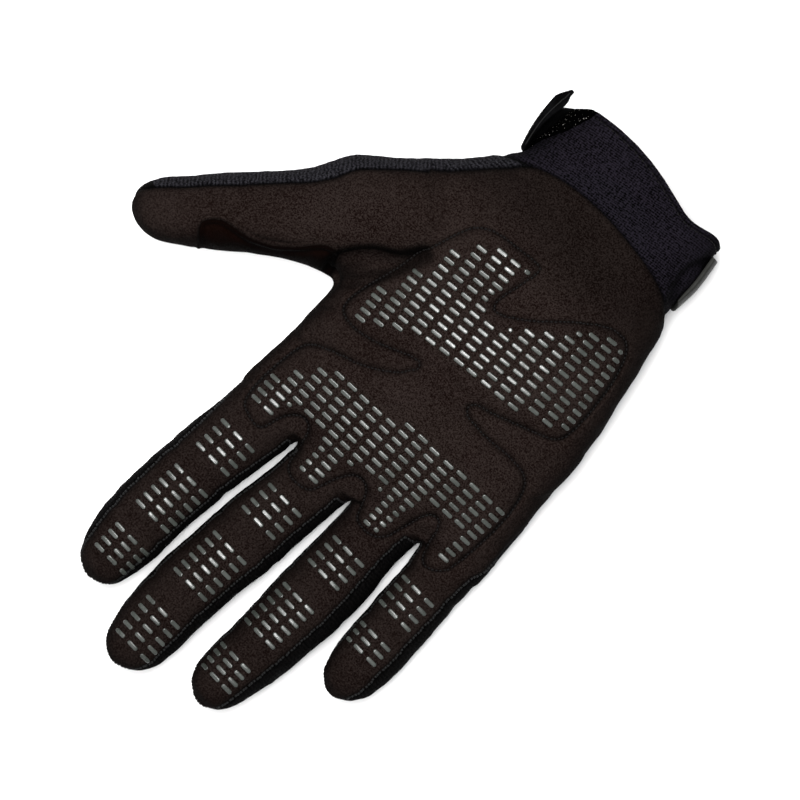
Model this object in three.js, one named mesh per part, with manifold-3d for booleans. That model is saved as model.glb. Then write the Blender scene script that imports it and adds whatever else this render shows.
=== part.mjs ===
// A right-hand motocross glove, lying palm up on its knit back. Millimetres, +Z up.
// +Y runs from the wrist to the fingertips and +X points to the thumb's side.
// The glove is hollow: lofted fingers, thumb and hand tube are joined, hollowed by the wall, and then cut
// along the seams into the pieces that are sewn together.
import * as THREE from "three";
import { mergeVertices } from "three/addons/utils/BufferGeometryUtils.js";
import Module from "manifold-3d";

const wasm = await Module();
wasm.setup();

// Driving dimensions
const WALL = 1.4; // suede or knit with its lining
const SEAM_GAP = 0.3; // between two sewn pieces
const PAD_HEIGHT = 1.5; // foam under the quilted palm
const PATTERN_CENTRE = { x: 18.9, y: 6.2 }; // middle of the outline, in the tables' own frame
const FINGER_SIDES = 12;
const PALM_SIDES = 24;
const FINGER_POWER = 2.2; // 2 is an ellipse, and more is squarer
const PALM_POWER = 2.6;
const ABOVE = 60; // a height clear of the glove
const FINGER_REACH = 1.6; // how far a seam's cutting surface runs past the wall, clear of the next finger
const OPEN_REACH = 5; // and where no other finger is near
const CUT_PAST = 3; // and past a tip
const BACK_SEAM_ANGLE = -35; // where the finger side strips meet the knit back

const STRAP = { thickness: 2, firstY: -100 };
const LOOP = { thickness: 1.1, firstY: -101, lastY: -80.5 };
const TAB_FLARE = 2.6; // how far the strap's free end stands off the cuff at its wrist edge
const STRAP_MARGIN = 1.2; // from the seam between cuff and palm

const table = (columns, rows) =>
  rows.map((row) => Object.fromEntries(columns.map((name, i) => [name, row[i]])));

// One row for each section. at is the place along the digit, near and far are its edges on the little
// finger's side and on the thumb's side, low and high its height, and seamNear and seamFar the angle, in
// degrees above the middle of each side, where the suede of the palm ends.
const SECTION = ["at", "near", "far", "low", "high", "seamNear", "seamFar"];
const ALONG_Y = { origin: [0, 0], along: [0, 1], across: [1, 0] };

const index = {
  ...ALONG_Y,
  rows: table(SECTION, [
    [12, 12.6, 35.2, 1.5, 19, 30, -15],
    [30, 11.7, 35.6, 0.6, 20, 30, -12],
    [44, 11.7, 35.4, 0.6, 20, 33, 22],
    [60, 13, 35.9, 1, 20, 35, 35],
    [88, 12.6, 33.9, 3, 20.5, 33, 38],
    [96, 13.2, 32, 4, 20, 28, 36],
    [101, 14.4, 29.4, 5.4, 18.6, 20, 25],
    [104, 17, 26.6, 8, 16.2, 10, 10],
    [105.5, 20.2, 23.6, 10.6, 13.6, 0, 0],
  ]),
};
const middle = {
  ...ALONG_Y,
  rows: table(SECTION, [
    [12, -12, 9.2, 1.5, 19, 40, 22],
    [30, -12.8, 9.3, 0.6, 20, 42, 22],
    [60, -12.8, 10.5, 0.6, 20.6, 43, 20],
    [92, -12.6, 9.3, 2.4, 20.8, 43, 18],
    [102, -13, 7.8, 3.6, 20.5, 40, 10],
    [108, -12.9, 6.2, 4.8, 19.6, 35, 0],
    [113, -10.8, 4.1, 6.8, 17.8, 25, 0],
    [116, -7.4, 1.2, 9.2, 15.4, 10, 0],
    [117, -4.6, -1.4, 11, 13.8, 0, 0],
  ]),
};
const ring = {
  ...ALONG_Y,
  rows: table(SECTION, [
    [6, -35, -13.5, 1.5, 18.5, 50, 12],
    [24, -36.4, -13.6, 0.6, 19.4, 52, 12],
    [52, -39.6, -15.9, 0.7, 19.9, 54, 12],
    [64, -40.4, -17.3, 1.1, 20, 54, 12],
    [80, -39.9, -19, 2, 20.2, 53, 12],
    [92, -38.7, -19.9, 3.2, 20, 50, 10],
    [98, -37.6, -21.1, 4.2, 19.4, 44, 5],
    [102.4, -35, -23.6, 6.6, 17.4, 30, 0],
    [105, -31.4, -27.6, 10.2, 13.6, 0, 0],
  ]),
};
const little = {
  ...ALONG_Y,
  rows: table(SECTION, [
    [-4, -53.4, -34.5, 1.5, 17.5, 25, 12],
    [12, -56, -36, 0.6, 18.4, 30, 14],
    [24, -58, -37.5, 0.5, 18.4, 42, 14],
    [48, -61.7, -41.8, 1.4, 18.1, 53, 14],
    [58, -62.2, -43.4, 2.3, 18, 53, 14],
    [65, -61.6, -45.1, 3.4, 17.6, 48, 8],
    [70, -59, -47.6, 5.4, 16, 34, 0],
    [73.1, -55, -51.6, 9, 12.6, 0, 0],
  ]),
};
// The thumb runs along its own line, at about 46 degrees to the fingers, and carries the ball of the thumb.
const THUMB_ALONG = [0.69, 0.7238];
const thumb = {
  origin: [74.8, 0.1],
  along: THUMB_ALONG,
  across: [THUMB_ALONG[1], -THUMB_ALONG[0]],
  rows: table(SECTION, [
    [-66, -12, 15, 6, 30, -20, 40],
    [-54, -16, 19.2, 2, 34, -20, 42],
    [-36, -16.3, 19.5, 2, 34, -20, 46],
    [-28, -17.4, 17.2, 3.5, 32.5, -20, 50],
    [-20, -14.7, 14.6, 4.5, 31, -20, 50],
    [-8, -12.3, 13.1, 5.5, 29.5, -20, 50],
    [6, -11.7, 11.8, 6.5, 28.5, -20, 51],
    [16, -11, 10.4, 7.5, 27.5, -20, 51],
    [23, -9.9, 9.4, 8.5, 26, -20, 48],
    [28, -7.5, 7.4, 10.5, 24, -15, 40],
    [31.4, -4.4, 4.9, 13.2, 21, -5, 20],
    [33.2, -1.5, 1.9, 15.8, 18.4, 0, 0],
  ]),
};
// The hand tube, from beyond the wrist opening to the webs between the fingers. skew sets the little finger's
// side of a section back, because its web lies lower than the others.
const hand = {
  ...ALONG_Y,
  rows: table(
    [...SECTION, "skew"],
    [
      [-112, -26.5, 30, 2.6, 31, 0, 30, 0],
      [-102, -28.4, 31, 2.6, 31, 0, 30, 0],
      [-90, -31.2, 31.5, 2.6, 31, 0, 30, 0],
      [-84, -31.6, 31.6, 2.6, 31.3, 3, 32, 0],
      [-78, -33, 32.4, 2.4, 32, 5, 32, 0],
      [-72, -36.8, 36.2, 0.6, 33, 8, 33, 0],
      [-64, -39, 41.6, -1.2, 34, 0, 28, 0],
      [-54, -42.8, 46, -1.2, 34.5, -10, 28, 0],
      [-42, -46.6, 43, -1.2, 33, -20, 20, 0],
      [-12, -52.4, 39.5, -1.2, 29, -20, -15, 0],
      [0, -54.2, 38.3, -1.2, 27.5, -10, -15, 0],
      [12, -56, 36.8, -1.2, 25, 12, -15, 3],
      [22, -56.9, 36.3, -0.6, 22, 28, -15, 8],
      [29, -56.6, 35.6, 1.5, 18.5, 30, -12, 10],
    ],
  ),
};
const SKEW_FROM = -12;
const SKEW_OVER = 30;
const fingers = [index, middle, ring, little];

// Outlines, as seen from above the palm
const CUFF_EDGE = [
  [-46, -88], [-34, -97.5], [-29.5, -102.6], [-25, -104.8], [-20, -103], [-15, -101.6], [-9, -102.8],
  [0, -104.3], [9, -104.6], [18, -103.8], [26, -101.8], [33, -99.8], [60, -92],
];
const CUFF_SEAM = [
  [-60, -70], [-36, -76.5], [-29, -80.4], [-19, -82.2], [-7, -82.9], [5, -82.5], [15, -80.8], [24, -78],
  [31, -74.4], [37, -71.5], [60, -62],
];
const HEEL_PAD = [
  [23.2, -4.1], [27.4, -3.3], [31.4, -3.9], [33.4, -6], [33.8, -9.5], [32.8, -17], [30.9, -24], [29.6, -31],
  [28.4, -39], [27, -46], [25.2, -51.4], [20.5, -55.2], [11.7, -57.2], [3, -59], [1.8, -57], [2.6, -50.5],
  [3.7, -42], [2.6, -39.4], [0, -39.6], [-4, -42.6], [-9, -47], [-15, -54], [-22, -60.8], [-27, -63.6],
  [-31.5, -64], [-35, -60.5], [-38.2, -52], [-40.6, -42], [-41.6, -33], [-41, -29.8], [-38.5, -27],
  [-31, -23.5], [-25, -20.6], [-17, -17], [-5, -14.8], [6.5, -12.4], [12.5, -9.2], [18, -6.2],
];
const KNUCKLE_PAD = [
  [20, 33], [20.4, 37], [22.5, 38.4], [27, 37.8], [30.9, 36.4], [32.4, 30], [32.8, 20], [32.4, 11.6],
  [29.5, 8.4], [23.2, 5.1], [16.3, 2.4], [10.2, -1.8], [5.8, -5.8], [4.6, -8.8], [-6, -10.6], [-15.5, -12],
  [-26, -12], [-34, -13.6], [-41, -13.8], [-44.4, -12], [-46.6, -8.4], [-48, -3], [-49, 4], [-49.2, 12],
  [-49, 20], [-48.4, 23.4], [-45.5, 26.4], [-41.8, 27.4], [-39, 24], [-36.6, 14.6], [-31.8, 15.6],
  [-30.4, 22], [-29.2, 29.7], [-26.6, 33], [-22, 34.2], [-18, 33.4], [-15.4, 27], [-12.6, 24.4],
  [-8.3, 24.8], [-5.7, 29.7], [-4.4, 35], [-3.4, 38.4], [-0.6, 40], [4, 40.4], [7.4, 39], [9, 34],
  [10.4, 28], [12.6, 25.6], [15.6, 25.8], [18.2, 28.1],
];
const CREASE_LITTLE = [
  [-43.2, -31.5], [-49.3, -31.5], [-49.8, -16], [-47.6, -10.8], [-44.8, -13.2], [-41, -15], [-34, -14.8],
  [-26, -13.2], [-19.5, -13.1], [-16.6, -13.7], [-15.8, -14.9], [-17.5, -16.1], [-25, -19.5], [-31, -22.4],
  [-38.7, -25.9], [-41.6, -28.6],
];
const CREASE_THUMB = [
  [5.6, -10], [6.8, -6.6], [10.9, -3], [16.9, 1.2], [23.8, 4], [30.1, 7.2], [33.2, 10.4], [35.6, 9],
  [35.2, -1.2], [31.6, -2.6], [27.4, -2], [22.9, -2.8], [17.5, -5], [12, -8], [7.4, -10.8],
];
const THUMB_GUSSET = [
  [75.4, 17], [78.6, 14], [80, 11.8], [79.2, 9], [76.5, 6.8], [68, 4], [64, 1.5], [60, -2.5], [57, -6.5],
  [54, -10], [51, -13], [48, -14.2], [45.6, -13], [44, -10.5], [42.9, -7.4], [42, -3], [60, 8], [72, 20],
];
const GUSSET_LOW = 9; // its lower edge, where it meets the knit

function solidOf(geometry) {
  geometry.deleteAttribute("normal");
  geometry.deleteAttribute("uv");
  const merged = mergeVertices(geometry, 1e-4);
  return new wasm.Manifold(
    new wasm.Mesh({
      numProp: 3,
      vertProperties: merged.attributes.position.array,
      triVerts: new Uint32Array(merged.index.array),
    }),
  );
}

const union = (solids) => solids.reduce((whole, solid) => whole.add(solid));
// A cut along a seam can leave a shaving behind, so a piece is the largest of what is left.
const mainBody = (solid) => solid.decompose().reduce((a, b) => (b.volume() > a.volume() ? b : a));

// A closed skin over rings of points, with a flat fan at each end.
function loft(rings) {
  const sides = rings[0].length;
  const points = [...rings.flat(), centreOf(rings[0]), centreOf(rings.at(-1))];
  const firstCentre = points.length - 2;
  const lastCentre = points.length - 1;
  const lastRing = (rings.length - 1) * sides;
  const faces = [];
  for (let i = 0; i < sides; i++) {
    const j = (i + 1) % sides;
    for (let r = 0; r < lastRing; r += sides) {
      faces.push(r + i, r + sides + j, r + j, r + i, r + sides + i, r + sides + j);
    }
    faces.push(firstCentre, i, j, lastCentre, lastRing + j, lastRing + i);
  }
  const geometry = new THREE.BufferGeometry().setFromPoints(points);
  geometry.setIndex(faces);
  return solidOf(geometry);
}

const centreOf = (points) =>
  points.reduce((sum, p) => sum.add(p), new THREE.Vector3()).divideScalar(points.length);

// An outline drawn in plan, raised between two heights.
function prism(outline, low, high) {
  const shape = new THREE.Shape(outline.map(([x, y]) => new THREE.Vector2(x, y)));
  const geometry = new THREE.ExtrudeGeometry(shape, { depth: high - low, bevelEnabled: false });
  return solidOf(geometry.translate(0, 0, low));
}

// The middle and half sizes of a section, grown by offset.
function sizesOf(row, offset) {
  return {
    middle: (row.near + row.far) / 2,
    half: Math.max((row.far - row.near) / 2 + offset, 0.4),
    level: (row.low + row.high) / 2,
    rise: Math.max((row.high - row.low) / 2 + offset, 0.4),
  };
}

// The point at an angle on a section, as a distance across it and a height.
function onSection(row, offset, power, angle) {
  const { middle, half, level, rise } = sizesOf(row, offset);
  const bent = (value) => Math.sign(value) * Math.abs(value) ** (2 / power);
  return [middle + half * bent(Math.cos(angle)), level + rise * bent(Math.sin(angle))];
}

function placed(limb, row, across, height, shift = 0) {
  const back = row.skew ? (row.skew * Math.max(0, SKEW_FROM - across)) / SKEW_OVER : 0;
  const at = row.at + shift - back;
  return new THREE.Vector3(
    limb.origin[0] + limb.along[0] * at + limb.across[0] * across,
    limb.origin[1] + limb.along[1] * at + limb.across[1] * across,
    height,
  );
}

// One finger, the thumb or the hand tube, grown by offset, and flattened where it rests on the surface.
function limbSolid(limb, offset, sides, power) {
  const first = limb.rows[0].at;
  const reach = limb.rows.at(-1).at - first;
  return loft(
    limb.rows.map((row) =>
      Array.from({ length: sides }, (_, i) => {
        const [across, height] = onSection(row, offset, power, (2 * Math.PI * i) / sides);
        const shift = (offset * (row.at - first)) / reach;
        return placed(limb, row, across, Math.max(height, -offset), shift);
      }),
    ),
  );
}

function glove(offset) {
  return union([
    limbSolid(hand, offset, PALM_SIDES, PALM_POWER),
    limbSolid(thumb, offset, FINGER_SIDES, FINGER_POWER),
    ...fingers.map((finger) => limbSolid(finger, offset, FINGER_SIDES, FINGER_POWER)),
  ]);
}

// All that lies above a limb's seams, lowered a little where a gap is wanted. anglesOf gives the two seam
// angles of a row, in degrees, and the cutting surface runs past the wall by reach.
function aboveSeams(limb, power, anglesOf, lower, reach) {
  const rings = limb.rows.map((row) => {
    const [nearAngle, farAngle] = anglesOf(row);
    const [nearX, nearZ] = onSection(row, 0, power, Math.PI - THREE.MathUtils.degToRad(nearAngle));
    const [farX, farZ] = onSection(row, 0, power, THREE.MathUtils.degToRad(farAngle));
    const slope = (farZ - nearZ) / Math.max(farX - nearX, 1);
    return [
      placed(limb, row, farX + reach, farZ - lower + slope * reach),
      placed(limb, row, farX + reach, ABOVE),
      placed(limb, row, nearX - reach, ABOVE),
      placed(limb, row, nearX - reach, nearZ - lower - slope * reach),
    ];
  });
  const past = new THREE.Vector3(limb.along[0], limb.along[1], 0).multiplyScalar(CUT_PAST);
  return loft([...rings, rings.at(-1).map((point) => point.clone().add(past))]);
}

const palmAngles = (row) => [row.seamNear, row.seamFar];
const backAngles = () => [BACK_SEAM_ANGLE, BACK_SEAM_ANGLE];

function palmSide(lower) {
  return union([
    aboveSeams(hand, PALM_POWER, palmAngles, lower, OPEN_REACH),
    aboveSeams(thumb, FINGER_POWER, palmAngles, lower, OPEN_REACH),
    ...fingers.map((finger) => aboveSeams(finger, FINGER_POWER, palmAngles, lower, FINGER_REACH)),
  ]);
}

const centreline = (finger, first) =>
  finger.rows
    .map((row) => [(row.near + row.far) / 2, row.at])
    .filter(([, y]) => y > first);

// The space of a side strip: between the middles of two neighbouring fingers, above the back seam.
function stripZone(nearFinger, farFinger, first, grow = 0) {
  const up = centreline(nearFinger, first).map(([x, y]) => [x - grow, y]);
  const down = centreline(farFinger, first).map(([x, y]) => [x + grow, y]);
  const top = Math.max(down.at(-1)[1], up.at(-1)[1]) + CUT_PAST;
  const outline = [
    [down[0][0], first - grow],
    ...down,
    [down.at(-1)[0], top],
    [up.at(-1)[0], top],
    ...up.toReversed(),
    [up[0][0], first - grow],
  ];
  const between = prism(outline, 0, ABOVE);
  const above = [nearFinger, farFinger].map((finger) =>
    aboveSeams(finger, FINGER_POWER, backAngles, grow, OPEN_REACH),
  );
  return between.intersect(union(above));
}

// A closed outline, clockwise, moved outwards by an amount.
const grown = (outline, amount) =>
  outline.map(([x, y], i) => {
    const [beforeX, beforeY] = outline.at(i - 1);
    const [afterX, afterY] = outline[(i + 1) % outline.length];
    const before = new THREE.Vector2(beforeY - y, x - beforeX).normalize();
    const after = new THREE.Vector2(y - afterY, afterX - x).normalize();
    const out = before.add(after).normalize().multiplyScalar(amount);
    return [x + out.x, y + out.y];
  });

// What lies on the wrist's side of a line across the glove, moved towards the fingers by shift.
function wristSide(line, shift) {
  const moved = line.map(([x, y]) => [x, y + shift]);
  return prism([...moved.toReversed(), [line[0][0], -200], [line.at(-1)[0], -200]], -10, ABOVE);
}

// A section of a limb at any place along it, between the rows of its table.
function sectionAt(limb, at) {
  const after = Math.max(limb.rows.findIndex((row) => row.at >= at), 1);
  const [a, b] = [limb.rows[after - 1], limb.rows[after]];
  const t = (at - a.at) / (b.at - a.at);
  return Object.fromEntries(SECTION.map((name) => [name, THREE.MathUtils.lerp(a[name], b[name], t)]));
}

// Where a line drawn in plan lies at a given x.
function lineAt(line, x) {
  const after = Math.max(line.findIndex((point) => point[0] >= x), 1);
  const [a, b] = [line[after - 1], line[after]];
  return THREE.MathUtils.lerp(a[1], b[1], (x - a[0]) / (b[0] - a[0]));
}

// A band of cloth or rubber round the cuff, from one angle to another, at a clearance from its skin. flare
// lifts the band's wrist edge off the cuff, more and more towards its end.
function cuffBand({ from, to, steps, clearance, thickness, firstY, lastY, flare = 0 }) {
  const rings = Array.from({ length: steps + 1 }, (_, i) => {
    const angle = THREE.MathUtils.degToRad(from + ((to - from) * i) / steps);
    const x = onSection(hand.rows[2], 0, PALM_POWER, angle)[0];
    const last = lastY ?? lineAt(CUFF_SEAM, x) - STRAP_MARGIN;
    const lift = flare * (i / steps) ** 2;
    const edge = (y, depth, raised) => {
      const [across, height] = onSection(sectionAt(hand, y), clearance + depth + raised, PALM_POWER, angle);
      return new THREE.Vector3(across, y, Math.max(height, 0));
    };
    const middle = (firstY + last) / 2;
    return [
      edge(firstY, 0, lift),
      edge(middle, 0, lift / 2),
      edge(last, 0, 0),
      edge(last, thickness, 0),
      edge(middle, thickness, lift / 2),
      edge(firstY, thickness, lift),
    ];
  });
  return loft(rings);
}

const outer = glove(0);
const inner = glove(-WALL);
const shell = outer.subtract(inner).subtract(wristSide(CUFF_EDGE, 0));
const body = shell.subtract(wristSide(CUFF_SEAM, SEAM_GAP));
const gussetZone = (grow) => prism(grown(THUMB_GUSSET, grow), GUSSET_LOW - grow, ABOVE);

const palmPanel = mainBody(body.intersect(palmSide(0)).subtract(gussetZone(SEAM_GAP)));
const rest = body.subtract(palmSide(SEAM_GAP));
const strips = {
  side_strip_index_middle: [middle, index, 20],
  side_strip_middle_ring: [ring, middle, 20],
  side_strip_ring_little: [little, ring, 9],
};
const backPanel = mainBody(
  Object.values(strips).reduce(
    (solid, strip) => solid.subtract(stripZone(...strip, SEAM_GAP)),
    rest.subtract(gussetZone(SEAM_GAP)),
  ),
);
const cuff = mainBody(shell.intersect(wristSide(CUFF_SEAM, 0)));
const gusset = mainBody(body.intersect(gussetZone(0)));

const padLayer = glove(SEAM_GAP + PAD_HEIGHT).subtract(glove(SEAM_GAP));
const pad = (outline) => mainBody(padLayer.intersect(prism(outline, 12, ABOVE)));

const strap = cuffBand({ from: 168, to: 292, steps: 14, clearance: SEAM_GAP, ...STRAP });
const loopPatch = cuffBand({ from: 325, to: 395, steps: 7, clearance: SEAM_GAP, ...LOOP });
const tabClearance = LOOP.thickness + 2 * SEAM_GAP;
const strapTab = cuffBand({
  from: 294,
  to: 369,
  steps: 8,
  clearance: tabClearance,
  flare: TAB_FLARE,
  ...STRAP,
});

const group = new THREE.Group();
group.position.set(-PATTERN_CENTRE.x, -PATTERN_CENTRE.y, 0);

function addPiece(name, solid, colour, roughness) {
  const { vertProperties, triVerts } = solid.getMesh();
  const geometry = new THREE.BufferGeometry();
  geometry.setAttribute("position", new THREE.BufferAttribute(vertProperties, 3));
  geometry.setIndex(new THREE.BufferAttribute(triVerts, 1));
  geometry.computeVertexNormals();
  const mesh = new THREE.Mesh(
    geometry,
    new THREE.MeshStandardMaterial({ color: colour, roughness, metalness: 0 }),
  );
  mesh.name = name;
  group.add(mesh);
}

const SUEDE = 0x1e1815;
const KNIT = 0x121218;
const RUBBER = 0x33332f;

addPiece("palm_panel", palmPanel, SUEDE, 0.95);
addPiece("heel_pad", pad(HEEL_PAD), SUEDE, 0.95);
addPiece("knuckle_pad", pad(KNUCKLE_PAD), SUEDE, 0.95);
addPiece("crease_pad_little", pad(CREASE_LITTLE), SUEDE, 0.95);
addPiece("crease_pad_thumb", pad(CREASE_THUMB), SUEDE, 0.95);
addPiece("thumb_gusset", gusset, SUEDE, 0.95);
for (const [name, strip] of Object.entries(strips)) {
  addPiece(name, mainBody(rest.intersect(stripZone(...strip))), KNIT, 0.9);
}
addPiece("back_panel", backPanel, KNIT, 0.9);
addPiece("cuff", cuff, KNIT, 0.85);
addPiece("wrist_strap", strap, RUBBER, 0.5);
addPiece("strap_tab", strapTab, RUBBER, 0.5);
addPiece("loop_patch", loopPatch, KNIT, 0.95);

export default group;
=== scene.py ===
"""Looks for a right-hand motocross glove lying palm up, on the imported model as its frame.

Lengths are in millimetres in the glove's own pattern frame until a mesh is made: +Y to the fingertips, +X to
the thumb's side, +Z out of the palm. to_frame() moves them to the frame's origin, in metres.
"""

import math

import bpy
import numpy as np
from mathutils import Matrix, Vector
from mathutils.bvhtree import BVHTree


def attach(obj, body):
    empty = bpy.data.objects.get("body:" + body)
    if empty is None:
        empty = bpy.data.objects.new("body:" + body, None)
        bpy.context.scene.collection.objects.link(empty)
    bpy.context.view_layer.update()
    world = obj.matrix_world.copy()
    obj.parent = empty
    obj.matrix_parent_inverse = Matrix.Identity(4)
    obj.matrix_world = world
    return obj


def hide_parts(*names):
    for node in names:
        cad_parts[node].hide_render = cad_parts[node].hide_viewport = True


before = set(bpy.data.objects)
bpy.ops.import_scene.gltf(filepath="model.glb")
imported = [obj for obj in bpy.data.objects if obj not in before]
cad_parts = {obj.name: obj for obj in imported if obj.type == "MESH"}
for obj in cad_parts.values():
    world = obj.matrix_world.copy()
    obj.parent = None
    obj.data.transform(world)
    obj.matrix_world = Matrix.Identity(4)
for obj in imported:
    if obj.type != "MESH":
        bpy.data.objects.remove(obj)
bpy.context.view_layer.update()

PATTERN_CENTRE = np.array([18.9, 6.2, 0.0])
CELL = 0.6  # the size of one cell of the surface's grid
GRID_LOW = np.array([-65.0, -113.0, -1.5])
GRID_HIGH = np.array([103.0, 120.0, 38.5])
FINGER_BOX = ((-19, -8), (19, 120))  # where each limb is worked out: x and y, for a finger from its middle
THUMB_BOX = ((8, -80), (103, 30))
HAND_BOX = ((-65, -113), (58, 36))
FAR_AWAY = 30.0  # the distance from a limb outside its box
FINGER_POWER = 2.2  # 2 is an ellipse, and more is squarer
PALM_POWER = 2.6
SKEW_FROM = -12.0  # where the hand's front edge starts to fall back, towards the little finger
SKEW_OVER = 30.0
MIDWAY = 50.0  # the y at which a finger's box is centred on it
THUMB_BLEND = 7.0  # how widely the thumb and the fingers run into the hand, and all of it into its flat back
FINGER_BLEND = 3.0
FLOOR_BLEND = 1.0
WALL = 1.2
CUFF_WALL = 1.6
CUT_SNAP = 0.04  # a point nearer a cut than this counts as above it, so that no sliver is left
LEAST_LINE = 8  # the points that a line of stitches has at least
WAVE_COUNT = 9
VIEW_LEVEL = 16.0  # the height at which the picture's scale is true
VIEW_WIDTH = 242.4  # how much the picture shows at that level
VIEW_LENS = 200.0
VIEW_SENSOR = 36.0
VIEW_HEIGHT = VIEW_WIDTH * VIEW_LENS / VIEW_SENSOR
BACK_SEAM_ANGLE = -35.0
THUMB_ROOT = (74.8, 0.1)  # the place from which the thumb's rows are counted
THUMB_ALONG = (0.69, 0.7238)

SECTION = ("at", "near", "far", "low", "high", "seam_near", "seam_far")
FINGER_ROWS = {
    "index": [
        (12, 12.6, 35.2, 1.5, 19, 30, -15),
        (30, 11.2, 35.6, 0.6, 20, 30, -12),
        (36, 10.9, 35.6, 0.6, 20, 32, 8),
        (44, 11.7, 35.4, 0.6, 20, 33, 22),
        (60, 13, 35.9, 1, 20, 35, 35),
        (76, 12.8, 35.3, 2, 20.5, 35, 36),
        (88, 12.6, 33.9, 3, 20.5, 33, 38),
        (96, 13.2, 32, 4, 20, 28, 36),
        (101, 14.1, 29.7, 5.4, 18.6, 20, 25),
        (104.3, 16.7, 27.2, 8, 16.2, 10, 10),
        (106, 20.2, 24, 10.6, 13.6, 0, 0),
    ],
    "middle": [
        (12, -12, 9.2, 1.5, 19, 40, 22),
        (30, -12.8, 10.2, 0.6, 20, 42, 22),
        (36, -12.8, 10.2, 0.5, 20.1, 42, 22),
        (44, -12.8, 9.8, 0.4, 20.3, 43, 22),
        (60, -12.8, 10.5, 0.6, 20.6, 43, 20),
        (76, -12.4, 10.3, 1.2, 20.8, 43, 20),
        (92, -12.6, 9.3, 2.4, 20.8, 43, 18),
        (102, -13, 7.8, 3.6, 20.5, 40, 10),
        (108, -12.9, 6.2, 4.8, 19.6, 35, 0),
        (113, -10.8, 4.1, 6.8, 17.8, 25, 0),
        (116, -7.4, 1.2, 9.2, 15.4, 10, 0),
        (117, -4.6, -1.4, 11, 13.8, 0, 0),
    ],
    "ring": [
        (6, -35, -13.5, 1.5, 18.5, 50, 12),
        (24, -36.4, -13.6, 0.6, 19.4, 52, 12),
        (36, -37.4, -14.5, 0.5, 19.6, 54, 12),
        (52, -39.6, -15.9, 0.7, 19.9, 54, 12),
        (64, -40.4, -17.3, 1.1, 20, 54, 12),
        (80, -39.9, -19, 2, 20.2, 53, 12),
        (92, -38.7, -19.9, 3.2, 20, 50, 10),
        (98, -37.6, -21.1, 4.2, 19.4, 44, 5),
        (102.8, -35.2, -23.4, 6.6, 17.4, 30, 0),
        (105.6, -31.6, -27.4, 10.2, 13.6, 0, 0),
    ],
    "little": [
        (-4, -53.4, -34.5, 1.5, 17.5, 25, 12),
        (12, -56, -36, 0.6, 18.4, 30, 14),
        (24, -58, -37.5, 0.5, 18.4, 42, 14),
        (36, -60, -39.7, 0.8, 18.2, 50, 14),
        (48, -61.7, -41.8, 1.4, 18.1, 53, 14),
        (58, -62.4, -43.2, 2.3, 18, 53, 14),
        (65, -62.2, -44.6, 3.4, 17.6, 48, 8),
        (70.6, -59.6, -47, 5.4, 16, 34, 0),
        (73.9, -55.4, -51.2, 9, 12.6, 0, 0),
    ],
}
THUMB_ROWS = [
    (-66, -12, 15, 6, 30, -20, 40),
    (-54, -16, 19.2, 2, 34, -20, 42),
    (-36, -16.3, 19.5, 2, 34, -20, 46),
    (-28, -17.4, 17.2, 3.5, 32.5, -20, 50),
    (-20, -14.7, 14.6, 4.5, 31, -20, 50),
    (-8, -12.3, 13.1, 5.5, 29.5, -20, 50),
    (6, -11.7, 11.8, 6.5, 28.5, -20, 51),
    (16, -11, 10.4, 7.5, 27.5, -20, 51),
    (22.6, -9.9, 9.4, 8.5, 26, -20, 48),
    (28, -7.5, 7.4, 10.5, 24, -15, 40),
    (30.8, -4.6, 5.1, 13.1, 21.1, -5, 20),
    (32.3, -1.6, 2, 15.8, 18.4, 0, 0),
]
HAND_ROWS = [
    (-112, -26.5, 30, 2.6, 31, 0, 30, 0),
    (-102, -28.4, 31, 2.6, 31, 0, 30, 0),
    (-90, -31.2, 31.5, 2.6, 31, 0, 30, 0),
    (-84, -32, 31.6, 2.6, 31.3, 3, 34, 0),
    (-78, -33.5, 32.4, 2.4, 32, 5, 36, 0),
    (-72, -36.8, 36.2, 0.6, 33, 8, 37, 0),
    (-64, -39, 41.6, -1.2, 34, 0, 33, 0),
    (-54, -42.8, 46, -1.2, 34.5, -10, 30, 0),
    (-42, -46.6, 43, -1.2, 33, -20, 20, 0),
    (-28, -49.6, 39.5, -1.2, 31, -18, 0, 0),
    (-12, -52.4, 39.5, -1.2, 29, -12, -15, 0),
    (0, -54.2, 38.3, -1.2, 27.5, 2, -15, 0),
    (12, -56, 36.8, -1.2, 25, 18, -15, 3),
    (23, -56.9, 36.3, -0.6, 22, 28, -15, 10),
    (30.6, -56.6, 35.6, 1.5, 18.5, 30, -12, 14.4),
]

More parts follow.
